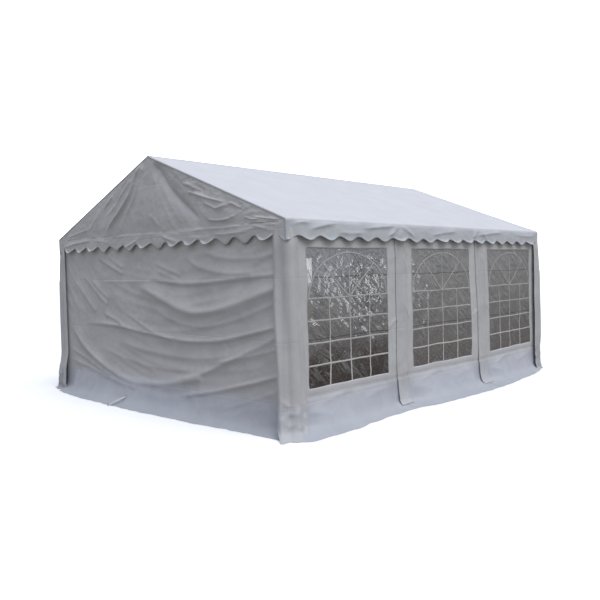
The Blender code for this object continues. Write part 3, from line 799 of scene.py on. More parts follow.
# Each fold: its line in metres across and up, its height, and how wide it is on either side
GABLE_FOLDS = [
    ([(-0.1, 3.2), (-0.27, 3.04), (-0.34, 2.87), (-0.52, 2.71), (-0.76, 2.54), (-1.12, 2.33)],
     0.045, 0.022, 0.022),
    ([(-0.08, 3.18), (-0.17, 3.05), (-0.27, 2.81), (-0.46, 2.6), (-0.6, 2.48)], 0.0176, 0.02, 0.04),
    ([(-0.4, 3.02), (-0.57, 2.89), (-0.71, 2.78), (-0.82, 2.66)], 0.0154, 0.02, 0.02),
    ([(-0.64, 2.92), (-0.71, 2.85), (-0.84, 2.76)], 0.011, 0.015, 0.015),
    ([(-0.86, 2.84), (-0.98, 2.76), (-1.12, 2.67)], 0.0132, 0.015, 0.015),
    ([(-0.8, 2.7), (-0.92, 2.62), (-1.04, 2.57)], 0.011, 0.015, 0.015),
    ([(-1.2, 2.66), (-1.4, 2.5), (-1.55, 2.38)], 0.011, 0.03, 0.02),
    ([(-0.03, 3.1), (-0.1, 2.8), (-0.16, 2.5)], 0.0066, 0.04, 0.04),
    ([(0.1, 3.18), (0.3, 2.97), (0.45, 2.8), (0.66, 2.64), (0.9, 2.47), (1.15, 2.34)], -0.063, 0.1, 0.08),
    ([(0.06, 3.12), (0.12, 2.98), (0.18, 2.86)], 0.011, 0.02, 0.02),
    ([(0.02, 2.52), (0.08, 2.48), (0.21, 2.37), (0.3, 2.31)], 0.0088, 0.012, 0.02),
    ([(0.8, 2.74), (0.95, 2.71), (1.11, 2.66), (1.33, 2.6), (1.56, 2.55)], 0.0198, 0.015, 0.02),
    ([(0.72, 2.86), (0.83, 2.82), (0.98, 2.8)], 0.0132, 0.012, 0.015),
    ([(0.88, 2.8), (0.97, 2.77), (1.12, 2.72)], 0.0132, 0.012, 0.015),
    ([(1.15, 2.58), (1.28, 2.53), (1.38, 2.49), (1.5, 2.52), (1.62, 2.53)], 0.0154, 0.015, 0.02),
    ([(1.6, 2.55), (1.68, 2.52), (1.82, 2.46)], 0.011, 0.012, 0.015),
    ([(1.2, 2.38), (1.4, 2.35), (1.62, 2.36), (1.8, 2.44)], 0.0176, 0.04, 0.02),
    ([(1.85, 2.37), (1.98, 2.33), (2.12, 2.33)], 0.011, 0.015, 0.015),
    ([(2.0, 2.36), (2.2, 2.33), (2.42, 2.3)], 0.011, 0.012, 0.015),
    ([(-2.2, 2.33), (-1.8, 2.38), (-1.5, 2.42)], 0.0088, 0.02, 0.02),
]
VALANCE_FOLDS = [
    ([(-2.45, 2.16), (-2.22, 2.2), (-1.93, 2.23), (-1.42, 2.26)], 0.014, 0.02, 0.02),
    ([(-1.45, 2.25), (-1.2, 2.23), (-0.98, 2.2)], 0.009, 0.015, 0.02),
    ([(-0.2, 2.26), (-0.36, 2.18), (-0.56, 2.12), (-0.9, 2.11)], 0.016, 0.015, 0.02),
    ([(0.18, 2.26), (0.3, 2.22), (0.46, 2.17), (0.7, 2.11)], 0.014, 0.02, 0.015),
    ([(-1.05, 2.285), (-0.65, 2.275), (-0.22, 2.278), (0.25, 2.268)], 0.007, 0.01, 0.02),
    ([(0.65, 2.26), (1.09, 2.275), (1.6, 2.265), (2.05, 2.285)], 0.011, 0.015, 0.02),
    ([(1.2, 2.21), (1.5, 2.19), (1.9, 2.21), (2.1, 2.26)], 0.012, 0.02, 0.02),
    ([(1.95, 2.275), (2.1, 2.24), (2.36, 2.18)], 0.014, 0.015, 0.02),
    ([(2.1, 2.28), (2.28, 2.26), (2.46, 2.24)], 0.009, 0.015, 0.015),
    ([(0.8, 2.19), (1.0, 2.17), (1.25, 2.17)], 0.008, 0.02, 0.015),
]


def gable_bulge(x, z, seed):
    """How far the triangle stands out: fanned folds, laced edges and a slight crush."""
    top = RIDGE - np.abs(x) * math.tan(SLOPE)
    edge = np.clip((top - z) * math.cos(SLOPE), 0, None)
    spread = np.hypot(x - PEAK[0], z - PEAK[1])
    angle = np.arctan2(x - PEAK[0], PEAK[1] - z)
    fan = 0.008 * pleats(angle / 0.16, spread / 0.8, seed) * step(0.05, 0.5, spread)
    bulge = fan + 0.007 * crumple(x, z, 0.26, seed + 6)
    bulge = bulge + folds(x, z, GABLE_FOLDS, (0.12, 0.3))
    crinkled = step(0.42, 0.16, edge) * step(0.0, 0.05, edge) * (0.45 + 0.55 * step(0.3, 0.7, x))
    bulge = bulge + 0.011 * crumple(x, z, 0.13, seed + 11) * crinkled
    laces = 0.006 * noise(x / 0.055, 2.0, seed + 9) * np.exp(-edge / 0.05)
    belly = 0.015 * step(0.0, 0.5, edge) * step(SEAM, SEAM + 0.2, z)
    return (bulge + belly + laces) * step(0.0, 0.06, edge)


def build_gable(end, sign):
    """A triangle with its valance; sign is -1 for the front and 1 for the back."""
    side = np.linspace(-HALF_WIDTH + 0.003, HALF_WIDTH - 0.003, END_SCALLOPS * GABLE_COLUMNS + 1)
    seed = 71 if sign < 0 else 81
    distance = side + HALF_WIDTH
    away = np.minimum(distance, 2 * HALF_WIDTH - distance)
    free = step(0.0, 0.25, away)
    curl = lobe_curl(distance, END_CURLS) * step(0.0, 0.05, away)
    billow = 0.003 * (1.2 + noise(distance / 0.5, 5.0, seed + 12)) * free
    length = SEAM - VALANCE_NOTCH + tip_depth(distance)
    part = np.linspace(1, 0, DROP_ROWS)[:, None]
    out, down = drop_shape(part, length[None, :], curl[None, :], billow[None, :])
    low_z = SEAM - down
    grid_side = np.broadcast_to(side, low_z.shape)
    out = out + folds(grid_side, low_z, VALANCE_FOLDS, (0.3, 0.3)) * free
    out = out + 0.006 * crumple(grid_side, low_z, 0.16, seed + 14) * free * step(0.0, 0.2, part)
    out = out + 0.003 * noise(distance / 0.13, 0.0, seed + 16) * part**2 * free
    top = RIDGE - np.abs(side) * math.tan(SLOPE) - 0.004
    rise = np.linspace(0, 1, TRIANGLE_ROWS)[1:, None] * (top - SEAM)[None, :]
    high_z = SEAM + rise
    pucker = 0.005 * np.exp(-rise / 0.05) * noise(side / 0.07, 0.0, seed + 20)
    high_out = gable_bulge(np.broadcast_to(side, high_z.shape), high_z, seed) + pucker
    z = np.concatenate([low_z, high_z])
    x = np.broadcast_to(-sign * side, z.shape)
    spots = np.stack([x, sign * (GABLE_Y + np.concatenate([out, high_out])), z], axis=-1)
    flat = np.stack([x, z + 0.15], axis=-1)
    piece = add_sheet(f"{end}_gable_cloth", spots, flat, (0, sign, 0), wall_material)
    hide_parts(f"{end}_gable")


for end, sign in ENDS:
    build_gable(end, sign)

# %% [markdown]
# ## Feet of the walls
#
# Every wall was cut longer than the frame is high. The spare cloth leans out from a seam below the
# windows, turns near the ground, and lies on it as a flap. Rows of the grid crowd together where it
# turns, so that the bend stays smooth.

# %% Feet of the walls
SKIRT_START = 0.385
LEAN = 0.10
LEAN_POWER = 1.4
FLAP_POWER = 14
CORNER_BEND = 0.075
MEAN_REACH = 0.30
CORNER_SPREAD = 0.085
MIDDLE_LEAN = 0.42
GROUND = 0.002


def foot_profile(height, lean=LEAN):
    """The share of a foot's reach at a height: a lean that grows, and a steep power near the ground."""
    share = np.clip((SKIRT_START - height) / SKIRT_START, 0, 1)
    return lean * share**LEAN_POWER + (1 - lean) * share**FLAP_POWER


def foot_rows(count):
    """Heights from the ground to where the foot starts, at even steps along its curve."""
    height = np.linspace(GROUND, SKIRT_START, 400)
    out = MEAN_REACH * foot_profile(height)
    length = np.concatenate([[0.0], np.cumsum(np.hypot(np.diff(height), np.diff(out)))])
    return np.interp(np.linspace(0, length[-1], count), length, height)


def spread_rows(stops, cell):
    """Even steps of about one cell between each pair of stops, so that the stops are on the grid."""
    pieces = []
    for low, high in zip(stops, stops[1:]):
        pieces.append(np.linspace(low, high, max(2, round((high - low) / cell)) + 1)[:-1])
    return np.concatenate(pieces + [np.array(stops[-1:])])


def wall_rows(cell, stops=()):
    """Heights from hem to top: the foot's own rows, then even ones through any stops."""
    foot = foot_rows(round(0.52 / cell))
    return np.concatenate([foot[:-1], spread_rows([SKIRT_START, *stops, WALL_TOP], cell)])


def corner_round(along, half):
    """How far a wall falls back as it rounds the corner post: the drop of a circle past its top."""
    past = np.clip(np.abs(along) - (half - CORNER_BEND), 0, 0.9 * CORNER_BEND)
    return CORNER_BEND - np.sqrt(CORNER_BEND**2 - past**2)


def corner_spread(along, half, height, spread):
    """How far the foot also moves sideways near a corner: out under the strip, or back from it."""
    return np.sign(along) * spread * foot_profile(height) * step(half - 0.3, half, np.abs(along))


print(f"0.1 m up, a foot stands out by {foot_profile(0.1):.0%} of its reach")

# %% [markdown]
# ## End walls
#
# Each end wall is one plain sheet, laced to the tie bar and the corner posts. It was cut wider than the
# frame, so the spare cloth hangs in long swags from post to post, deepest right of the middle. Every
# swag is a fold line with a broad, bright upper side and a narrow, dark lower side. Finer pleats run
# along the swags, and slant down from the left post.

# %% End walls
END_EDGE = WALL_X - 0.004
END_CELL = 0.0185
END_COLUMNS = 272

# Places along an end wall, and how far its foot reaches out there
END_HEM = (
    [-2.5, -1.9, -1.5, -0.5, -0.15, 0.3, 1.0, 1.6, 2.5],
    [0.19, 0.27, 0.31, 0.315, 0.325, 0.30, 0.28, 0.225, 0.185],
)
EYELET_AT = (-0.61, 0.075)

# Each swag: its line in metres across and up, its height, its upper and lower widths, and its crest
SWAGS = [
    ([(-0.15, 1.7), (0.2, 1.66), (0.74, 1.615), (1.47, 1.665), (2.42, 1.735)], 0.024, 0.06, 0.025, 0.008),
    ([(-0.45, 1.64), (0.13, 1.46), (0.57, 1.31), (0.98, 1.27), (1.57, 1.37), (2.42, 1.61)],
     0.048, 0.11, 0.09, 0.04),
    ([(-0.1, 1.33), (0.45, 1.14), (1.0, 1.09), (1.6, 1.2), (2.3, 1.42)], 0.0128, 0.06, 0.03, 0.015),
    ([(-1.95, 1.05), (-0.99, 1.06), (-0.3, 0.98), (0.45, 0.925), (1.0, 0.92), (1.5, 0.98),
      (2.42, 1.19)], 0.0272, 0.05, 0.025, 0.006),
    ([(-0.7, 1.22), (-0.32, 1.09), (-0.02, 0.98), (0.4, 0.92)], 0.0128, 0.03, 0.02, 0.006),
    ([(-2.42, 1.12), (-2.1, 0.88), (-1.8, 0.66), (-1.33, 0.46), (-0.76, 0.31), (-0.17, 0.3),
      (0.49, 0.38), (1.0, 0.5)], 0.0336, 0.07, 0.07, 0.02),
    ([(0.3, 0.4), (0.9, 0.5), (1.35, 0.68), (1.86, 0.87), (2.42, 1.1)], 0.0224, 0.06, 0.045, 0.014),
    ([(1.2, 0.68), (1.63, 0.77), (1.98, 0.84), (2.42, 0.95)], 0.0144, 0.03, 0.02, 0.008),
    ([(0.4, 0.2), (0.93, 0.29), (1.62, 0.44), (2.42, 0.66)], 0.0272, 0.035, 0.03, 0.008),
    ([(1.3, 0.14), (1.7, 0.26), (2.1, 0.4), (2.42, 0.52)], 0.0112, 0.03, 0.025, 0.008),
    ([(-2.4, 0.5), (-1.6, 0.37), (-1.05, 0.28), (-0.41, 0.22)], 0.0144, 0.03, 0.03, 0.01),
    ([(-2.38, 0.66), (-1.89, 0.54), (-1.45, 0.4), (-1.1, 0.33)], 0.0128, 0.03, 0.02, 0.01),
    ([(-1.3, 1.21), (-1.18, 1.18), (-0.94, 1.12), (-0.72, 1.03)], 0.0144, 0.02, 0.012, 0.004),
    ([(-1.45, 2.04), (-1.37, 1.99), (-1.09, 1.89), (-0.74, 1.76)], 0.0144, 0.04, 0.02, 0.008),
    ([(-1.15, 2.05), (-1.0, 1.96), (-0.74, 1.85)], 0.0112, 0.03, 0.02, 0.008),
    ([(-2.15, 1.72), (-1.82, 1.46), (-1.5, 1.22)], 0.0128, 0.05, 0.03, 0.012),
    ([(-1.9, 1.8), (-1.51, 1.53), (-1.18, 1.33)], 0.0128, 0.05, 0.03, 0.012),
    ([(-1.6, 1.7), (-1.35, 1.52), (-1.1, 1.42)], 0.008, 0.03, 0.02, 0.01),
    ([(0.0, 1.9), (0.32, 1.81), (0.6, 1.73)], 0.0112, 0.03, 0.02, 0.008),
    ([(0.05, 1.8), (0.3, 1.74), (0.55, 1.66)], 0.008, 0.02, 0.02, 0.008),
    ([(0.6, 2.02), (0.75, 1.93), (0.94, 1.83), (1.4, 1.74), (1.95, 1.75)], 0.0176, 0.06, 0.04, 0.02),
    ([(0.95, 2.06), (1.35, 1.92), (1.95, 1.9), (2.42, 1.97)], 0.016, 0.06, 0.04, 0.02),
    ([(-1.0, 0.84), (0.0, 0.72), (0.9, 0.7), (1.5, 0.8)], 0.0112, 0.06, 0.04, 0.02),
    ([(-1.5, 0.74), (-0.8, 0.6), (0.0, 0.52), (0.7, 0.55)], 0.0096, 0.05, 0.04, 0.015),
    ([(-1.42, 1.665), (-1.0, 1.655), (-0.4, 1.66), (-0.05, 1.66)], 0.0064, 0.012, 0.012, 0.003),
    ([(-0.335, 2.04), (-0.335, 1.96), (-0.335, 1.86)], 0.0064, 0.01, 0.01, 0.003),
    ([(-0.265, 2.04), (-0.265, 1.96), (-0.265, 1.86)], 0.0048, 0.01, 0.01, 0.003),
]


def end_reach(side, seed):
    """How far the foot of an end wall spreads on the ground, with an uneven hem between its ends."""
    uneven = 0.05 * noise(side / 0.45, 0.0, seed) + 0.03 * noise(side / 0.13, 4.0, seed)
    free = step(0.0, 0.5, HALF_WIDTH - np.abs(side))
    return np.interp(side, *END_HEM) * (1 + uneven * free)


def end_wall_bulge(side, z, seed):
    """How far an end wall stands out from its plane: swags, finer pleats along them, and a crush."""
    level = z - 0.10 * (side - 0.6) ** 2
    slanted = (side + 0.95 * z, z - 0.95 * side)
    along_swags = 0.010 * pleats(side / 1.1, level / 0.14, seed) * step(-1.6, -0.4, side)
    from_post = 0.010 * pleats(slanted[0] / 0.20, slanted[1] / 0.9, seed + 2) * step(-0.3, -1.2, side)
    bulge = along_swags + from_post * step(0.9, 1.3, z) + 0.006 * crumple(side, z, 0.30, seed + 4)
    bulge = bulge + folds(side, z, SWAGS, (0.20, 0.03))
    hung = step(WALL_TOP + 0.02, WALL_TOP - 0.22, z) * step(-0.02, 0.20, WALL_X - np.abs(side))
    return 0.004 + (bulge - 0.022) * hung


def end_wall_points(sign, side, z):
    """Points on an end wall at places across and up, foot and rounded ends included."""
    seed = 101 if sign < 0 else 141
    ripple = 0.016 * noise(side / 0.17, z / 0.5, seed + 9) * step(SKIRT_START, 0.12, z)
    ripple = ripple * step(0.0, 0.4, WALL_X - np.abs(side))
    lean = LEAN + MIDDLE_LEAN * step(0.0, 0.5, WALL_X - np.abs(side))
    out = end_wall_bulge(side, z, seed) + end_reach(side, seed) * foot_profile(z, lean) + ripple
    spread = np.where(side > 0, CORNER_SPREAD, -0.10)
    x = -sign * (side + corner_spread(side, END_EDGE, z, spread))
    return np.stack([x, sign * (WALL_Y + out - corner_round(side, WALL_X)), z], axis=-1)


def build_end_wall(end, sign):
    """An end wall from its hem up to the tie bar. The front one has a cell left out for the eyelet.

    It returns that cell's middle, and its edges across and up.
    """
    side, z = np.meshgrid(np.linspace(-END_EDGE, END_EDGE, END_COLUMNS), wall_rows(END_CELL))
    spots = end_wall_points(sign, side, z)
    row = np.searchsorted(z[:, 0], EYELET_AT[1])
    column = np.searchsorted(side[0], EYELET_AT[0])
    whole = np.ones((z.shape[0] - 1, z.shape[1] - 1), dtype=bool)
    whole[row, column] = sign > 0
    flat = np.stack([spots[..., 0], z], axis=-1)
    piece = add_sheet(f"{end}_wall_cloth", spots, flat, (0, sign, 0), wall_material, whole)
    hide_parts(f"{end}_wall")
    print(f"{end} wall cloth {2 * END_EDGE:.2f} m wide, {z.size} points")
    cell = spots[row : row + 2, column : column + 2]
    return cell.mean(axis=(0, 1)), cell[0, 1] - cell[0, 0], cell[1, 0] - cell[0, 0]


eyelet_cell = build_end_wall("front", -1)
build_end_wall("back", 1)

# %% [markdown]
# ## Side walls and their windows
#
# A side wall fills one bay. It is cloth round a large window of film, and the two are welded together,
# so both must follow one surface. That surface is a function of the place along the tent and the
# height, and the cloth, the film, the window bars and the strips at the inner posts all read it.

# %% The surface of a side wall
WELD_HEIGHT = 0.385
BOW = 0.05

# Folds that every bay repeats, with places along the tent taken from the bay's middle
BAY_FOLDS = [
    ([(-0.62, 0.27), (-0.35, 0.33), (0.05, 0.385)], 0.012, 0.02, 0.02),
    ([(-0.8, 0.22), (-0.6, 0.2), (-0.4, 0.14)], 0.012, 0.03, 0.02),
    ([(0.1, 0.2), (0.4, 0.27), (0.75, 0.3)], 0.009, 0.03, 0.02),
    ([(0.74, 1.02), (0.84, 1.1), (0.93, 1.13)], 0.01, 0.015, 0.015),
    ([(-0.92, 1.35), (-0.84, 1.2), (-0.75, 1.12)], 0.009, 0.02, 0.02),
    ([(-0.93, 1.95), (-0.85, 1.8), (-0.8, 1.6)], 0.008, 0.02, 0.02),
]

# Places along a side wall, and how far its foot reaches out there
SIDE_HEM = (
    [-3.0, -2.88, -2.6, -2.2, -1.95, -1.4, -0.95, -0.7, -0.3, 0.4, 0.7, 1.2, 1.8, 2.3, 2.7, 3.0],
    [0.26, 0.335, 0.33, 0.325, 0.275, 0.245, 0.25, 0.31, 0.36, 0.355, 0.36, 0.345, 0.30, 0.27, 0.18, 0.09],
)


def side_reach(y, seed):
    """How far the foot of a side wall spreads: most in the middle bay, least at the back post."""
    uneven = 0.03 * noise(y / 0.40, 0.0, seed) + 0.03 * noise(y / 0.12, 2.0, seed)
    return np.interp(y, *SIDE_HEM) * (1 + uneven * step(0.0, 0.4, WALL_Y - np.abs(y)))


def side_surface(y, z, seed):
    """How far a side wall stands out from its plane at a place, foot included."""
    distance = np.min([np.abs(y - post) for post in POSTS], axis=0)
    soft = 0.009 * noise(y / 0.55, z / 0.9, seed) + 0.007 * crumple(y, z, 0.32, seed + 3)
    upright = 0.008 * pleats(y / 0.10, z / 1.2, seed + 5) * step(0.42, 0.16, distance)
    hung = step(WALL_TOP + 0.02, WALL_TOP - 0.2, z)
    shape = (soft + upright) * hung - 0.008 * np.exp(-(((z - WELD_HEIGHT) / 0.010) ** 2))
    shape = shape + sum(folds(y - centre, z, BAY_FOLDS) for centre in BAY_CENTRES)
    shape = shape * step(0.02, 0.35, WALL_Y - np.abs(y))
    shape = shape + BOW * step(WALL_TOP, 0.40, z) * np.exp(-(((y - POSTS[2]) / 0.8) ** 2))
    waves = 0.018 * noise(y / 0.24, 1.0, seed + 8) * step(SKIRT_START, 0.05, z)
    waves = waves * step(0.0, 0.4, WALL_Y - np.abs(y))
    lean = LEAN + MIDDLE_LEAN * step(0.10, 0.45, distance)
    return 0.002 + shape + side_reach(y, seed) * foot_profile(z, lean) + waves


def side_points(sign, y, z, lift=0.0):
    """Points on a side wall, lifted off it, and slid along it so that no weld is quite straight."""
    seed = 201 if sign > 0 else 261
    away = np.min([np.abs(y - post) for post in POSTS], axis=0)
    free = step(0.02, 0.25, away) * step(WALL_TOP, WALL_TOP - 0.3, z) * step(0.0, 0.3, z)
    slide = 0.013 * noise(z / 0.32 + 7.0, y / 0.6, seed + 12) * free
    rise = 0.007 * noise(y / 0.35, z / 0.6 + 3.0, seed + 13) * free
    out = WALL_X + side_surface(y, z, seed) - corner_round(y, WALL_Y) + lift
    along = y + slide + corner_spread(y, WALL_Y, z, CORNER_SPREAD * step(2.0, -2.0, y))
    return np.stack([sign * out, along, z + rise], axis=-1)


# %% Side walls
SIDE_CELL = 0.02


def build_side_wall(side, sign, bay):
    """The cloth of one bay, with the hole for its window."""
    centre = BAY_CENTRES[bay]
    first = POSTS[bay] + 0.001 if bay else -WALL_Y + 0.004
    last = POSTS[bay + 1] - 0.001 if bay < 2 else WALL_Y - 0.004
    y = spread_rows([first, centre - WINDOW_HALF, centre + WINDOW_HALF, last], SIDE_CELL)
    z = wall_rows(SIDE_CELL, (WINDOW_LOW, WINDOW_HIGH))
    grid_y, grid_z = np.meshgrid(y, z)
    middle_y, middle_z = (y[:-1] + y[1:]) / 2, (z[:-1] + z[1:]) / 2
    in_window = (np.abs(middle_y - centre) < WINDOW_HALF)[None, :]
    in_window = in_window & ((middle_z > WINDOW_LOW) & (middle_z < WINDOW_HIGH))[:, None]
    name = f"{side}_wall_cloth_{bay + 1}"
    spots, flat = side_points(sign, grid_y, grid_z), np.stack([grid_y, grid_z], axis=-1)
    piece = add_sheet(name, spots, flat, (sign, 0, 0), wall_material, ~in_window)
    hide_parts(f"{side}_wall_{bay + 1}")


# %% Window film
FILM_LAP = 0.012
FILM_CELL = 0.018
FILM_SINK = 0.003
FILM_SEED = 300


def film_lift(y, z, centre, seed):
    """The film's own ripples above the wall's surface, which die out at its welded edge."""
    along, across = 0.79 * (y - centre) - 0.61 * z, 0.61 * (y - centre) + 0.79 * z
    ripples = 0.004 * (crumple(y, z, 0.16, seed + 20, 2) + pleats(along / 0.35, across / 0.07, seed))
    edge = np.minimum(WINDOW_HALF - np.abs(y - centre), np.minimum(z - WINDOW_LOW, WINDOW_HIGH - z))
    return ripples * step(0.0, 0.06, edge) - FILM_SINK


def build_window(side, sign, bay):
    """The film, a little larger than its hole and just behind the cloth."""
    centre = BAY_CENTRES[bay]
    half = WINDOW_HALF + FILM_LAP
    height = WINDOW_HIGH - WINDOW_LOW + 2 * FILM_LAP
    y = np.linspace(centre - half, centre + half, round(2 * half / FILM_CELL))
    z = np.linspace(WINDOW_LOW - FILM_LAP, WINDOW_HIGH + FILM_LAP, round(height / FILM_CELL))
    grid_y, grid_z = np.meshgrid(y, z)
    spots = side_points(sign, grid_y, grid_z, film_lift(grid_y, grid_z, centre, FILM_SEED + bay))
    name = f"{side}_window_film_{bay + 1}"
    mesh = mesh_from_grid(name, spots, np.stack([grid_y, grid_z], axis=-1), (sign, 0, 0))
    piece = add_piece(name, mesh, film_material)
    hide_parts(f"{side}_window_{bay + 1}")


# %% [markdown]
# The bars only look like a window frame: they are flat strips welded onto the film, and bend with it.
# Below a hub bar they make four rows of four panes. Above it they make an arch with three rays. Each is
# a line in the window's plane, widened to both sides and laid on the film.

# %% Window bars
BAR_WIDTH = 0.0185
BAR_RAISE = 0.0015
HUB_HEIGHT = WINDOW_LOW + 0.64 * (WINDOW_HIGH - WINDOW_LOW)
ARCH_HALF = WINDOW_HALF - 0.018
ARCH_RISE = WINDOW_HIGH - 0.045 - HUB_HEIGHT
RAY_END = (0.646, 0.763)


def bar_lines(centre):
    """The window's bars as lines: rows and columns below the hub bar, an arch and three rays above."""
    across = np.linspace(-WINDOW_HALF + 0.002, WINDOW_HALF - 0.002, 80)
    upright = np.linspace(WINDOW_LOW + 0.002, HUB_HEIGHT, 55)
    rows = [HUB_HEIGHT - k * (HUB_HEIGHT - WINDOW_LOW) / 4 for k in range(4)]
    lines = [np.stack([centre + across, np.full_like(across, row)], axis=-1) for row in rows]
    for k in (-1, 0, 1):
        lines.append(np.stack([np.full_like(upright, centre + k * WINDOW_HALF / 2), upright], axis=-1))
    angle = np.linspace(0, math.pi, 90)
    arch = np.stack([np.cos(angle) * ARCH_HALF, np.sin(angle) * ARCH_RISE], axis=-1)
    lines.append(arch + (centre, HUB_HEIGHT))
    reach = np.linspace(0.01, 1.0, 30)[:, None]
    for way, past in ((-1, 1.05), (0, 1.0), (1, 1.0)):
        end = (way * RAY_END[0] * ARCH_HALF, ARCH_RISE * (RAY_END[1] if way else 1.0))
        lines.append((centre, HUB_HEIGHT) + reach * past * end)
    return lines


def ribbon(line):
    """Four edges of a flat bar along a line in the window's plane, square to the line."""
    ahead = np.gradient(line, axis=0)
    ahead /= np.hypot(ahead[:, 0], ahead[:, 1])[:, None]
    across = np.stack([-ahead[:, 1], ahead[:, 0]], axis=-1)
    return np.stack([line + across * BAR_WIDTH / 2 * k for k in (-1, -0.8, 0.8, 1)])


def joined(name, meshes):
    """One mesh from several, by adding up their points and shifting the point numbers of their faces."""
    points, faces, flats, before = [], [], [], 0
    for mesh in meshes:
        co = np.empty(len(mesh.vertices) * 3, np.float32)
        mesh.vertices.foreach_get("co", co)
        corners = np.empty(len(mesh.loops), np.int32)
        mesh.loops.foreach_get("vertex_index", corners)
        uv = np.empty(len(mesh.loops) * 2, np.float32)
        mesh.uv_layers["cloth"].data.foreach_get("uv", uv)
        points.append(co.reshape(-1, 3))
        faces.append(corners.reshape(-1, 4) + before)
        flats.append(uv)
        before += len(mesh.vertices)
        bpy.data.meshes.remove(mesh)
    whole = bpy.data.meshes.new(name)
    whole.from_pydata(np.concatenate(points).tolist(), [], np.concatenate(faces).tolist())
    whole.shade_smooth()
    whole.uv_layers.new(name="cloth").data.foreach_set("uv", np.concatenate(flats))
    return whole


def build_bars(side, sign, bay):
    """All the bars of one window in one mesh, each a shallow strip that follows the film."""
    meshes = []
    centre = BAY_CENTRES[bay]
    for number, line in enumerate(bar_lines(centre)):
        edges = ribbon(line)
        profile = BAR_RAISE * np.array([0.1, 1, 1, 0.1])[:, None] + 0.0002 * number
        lift = film_lift(edges[..., 0], edges[..., 1], centre, FILM_SEED + bay) + profile
        spots = side_points(sign, edges[..., 0], edges[..., 1], lift)
        meshes.append(mesh_from_grid("bar", spots, edges, (sign, 0, 0)))
    name = f"{side}_window_bars_{bay + 1}"
    add_piece(name, joined(name, meshes), bar_material)


for side, sign in SIDES:
    for bay in range(len(BAY_CENTRES)):
        build_side_wall(side, sign, bay)
        build_window(side, sign, bay)
        build_bars(side, sign, bay)
print("side walls, films and bars for", 2 * len(BAY_CENTRES), "bays")

# %% [markdown]
# ## Joint strips
#
# Where two walls meet at a post, the edge flap of one hangs over the other. Only one of its edges is
# sewn. The free one stands off, most a little above the ground, and shows as a dark line. Corners have
# a strip too, bent round the post. Its two edges keep about the same distance along the turn all the way
# down, so where the feet of the walls fan out, it covers less of it. Rolls run down it, and at its foot
# it bunches into creases. Measured across all these, the cloth is wider than its edges are apart.

# %% Strips at the inner posts
STRIP_NEAR = 0.10
STRIP_FAR = 0.15
STRIP_FOOT = 0.035
STRIP_CELL = 0.02


def strip_rows():
    """Heights of a strip: the foot's rows above its hem, then even ones up to the eave."""
    foot = foot_rows(24)
    above = spread_rows([SKIRT_START, WALL_TOP - 0.01], STRIP_CELL)
    return np.concatenate([foot[foot > STRIP_FOOT][:-1], above])


def build_post_strip(side, sign, number):
    """One flap over the joint at a post, its free edge towards the front gable."""
    post = POSTS[number - 1]
    seed = 340 + number
    y = np.linspace(post - STRIP_NEAR, post + STRIP_FAR, 22)
    grid_y, grid_z = np.meshgrid(y, strip_rows())
    free = (y[-1] - grid_y) / (y[-1] - y[0])
    gape = 0.004 + 0.016 * step(0.55, 0.18, grid_z) * step(0.02, 0.15, grid_z)
    rolls = 0.005 * pleats(grid_y / 0.09, grid_z / 1.1, seed) * step(0.0, 0.2, 1 - free)
    bunch = 0.012 * (1 + crumple(grid_y, grid_z, 0.09, seed + 5)) * step(0.20, 0.05, grid_z)
    spots = side_points(sign, grid_y, grid_z, 0.0045 + gape * free**3 + rolls + bunch)
    name = f"{side}_post_strip_{number}"
    flat = np.stack([grid_y, grid_z], axis=-1)
    piece = add_sheet(name, spots, flat, (sign, 0, 0), strip_material)
    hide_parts(f"{side}_post_cover_{number}")


for side, sign in SIDES:
    for number in (2, 3):
        build_post_strip(side, sign, number)

# %% Strips round the corners
CORNER_END = -0.14
CORNER_SIDE = 0.195
CORNER_STAND = 0.007
CORNER_TURN = 0.045
CORNER_COLUMNS = 40

# For each corner: how far the strip spreads at the ground, how far its middle stands off up high and
# near the ground, how far its end edge and its side edge stand off, how much the end edge gapes low,
# how steeply the part on the end wall swings off it lower down, and how far it hangs to the side
CORNERS = {
    "front_left": (0.05, 0.035, 0.050, 0.002, 0.004, 0.045, 0.0, 0.0),
    "front_right": (0.21, 0.000, 0.000, 0.004, 0.002, 0.000, 0.75, -0.047),
    "back_left": (0.08, 0.020, 0.000, 0.014, 0.006, 0.000, 0.40, -0.02),
    "back_right": (0.05, 0.028, -0.020, 0.004, 0.020, 0.010, 0.0, 0.0),
}

# Creases where a strip bunches at its foot: places in metres along the strip and up, and a height
CORNER_FOLDS = [
    ([(-0.17, 0.44), (-0.12, 0.36), (-0.04, 0.31)], 0.012, 0.02, 0.012, 0.004),
    ([(-0.1, 0.26), (-0.03, 0.24), (0.05, 0.27)], 0.012, 0.02, 0.012, 0.004),
    ([(0.08, 0.46), (0.1, 0.34), (0.09, 0.24)], 0.008, 0.02, 0.012, 0.004),
    ([(-0.15, 0.22), (-0.11, 0.14), (-0.05, 0.1)], 0.01, 0.02, 0.012, 0.004),
]


def corner_plan(reach, radius):
    """Place and facing in plan, at a distance along the strip from the middle of its turn.

    The turn is a quarter circle, so its angle is the distance over the radius, and what is left over
    at either end runs straight on.
    """
    half = radius * math.pi / 4
    angle = math.pi / 4 + np.clip(reach, -half, half) / radius
    past_end, past_side = np.clip(-reach - half, 0, None), np.clip(reach - half, 0, None)
    return radius * np.sin(angle) - past_end, radius * np.cos(angle) - past_side, angle


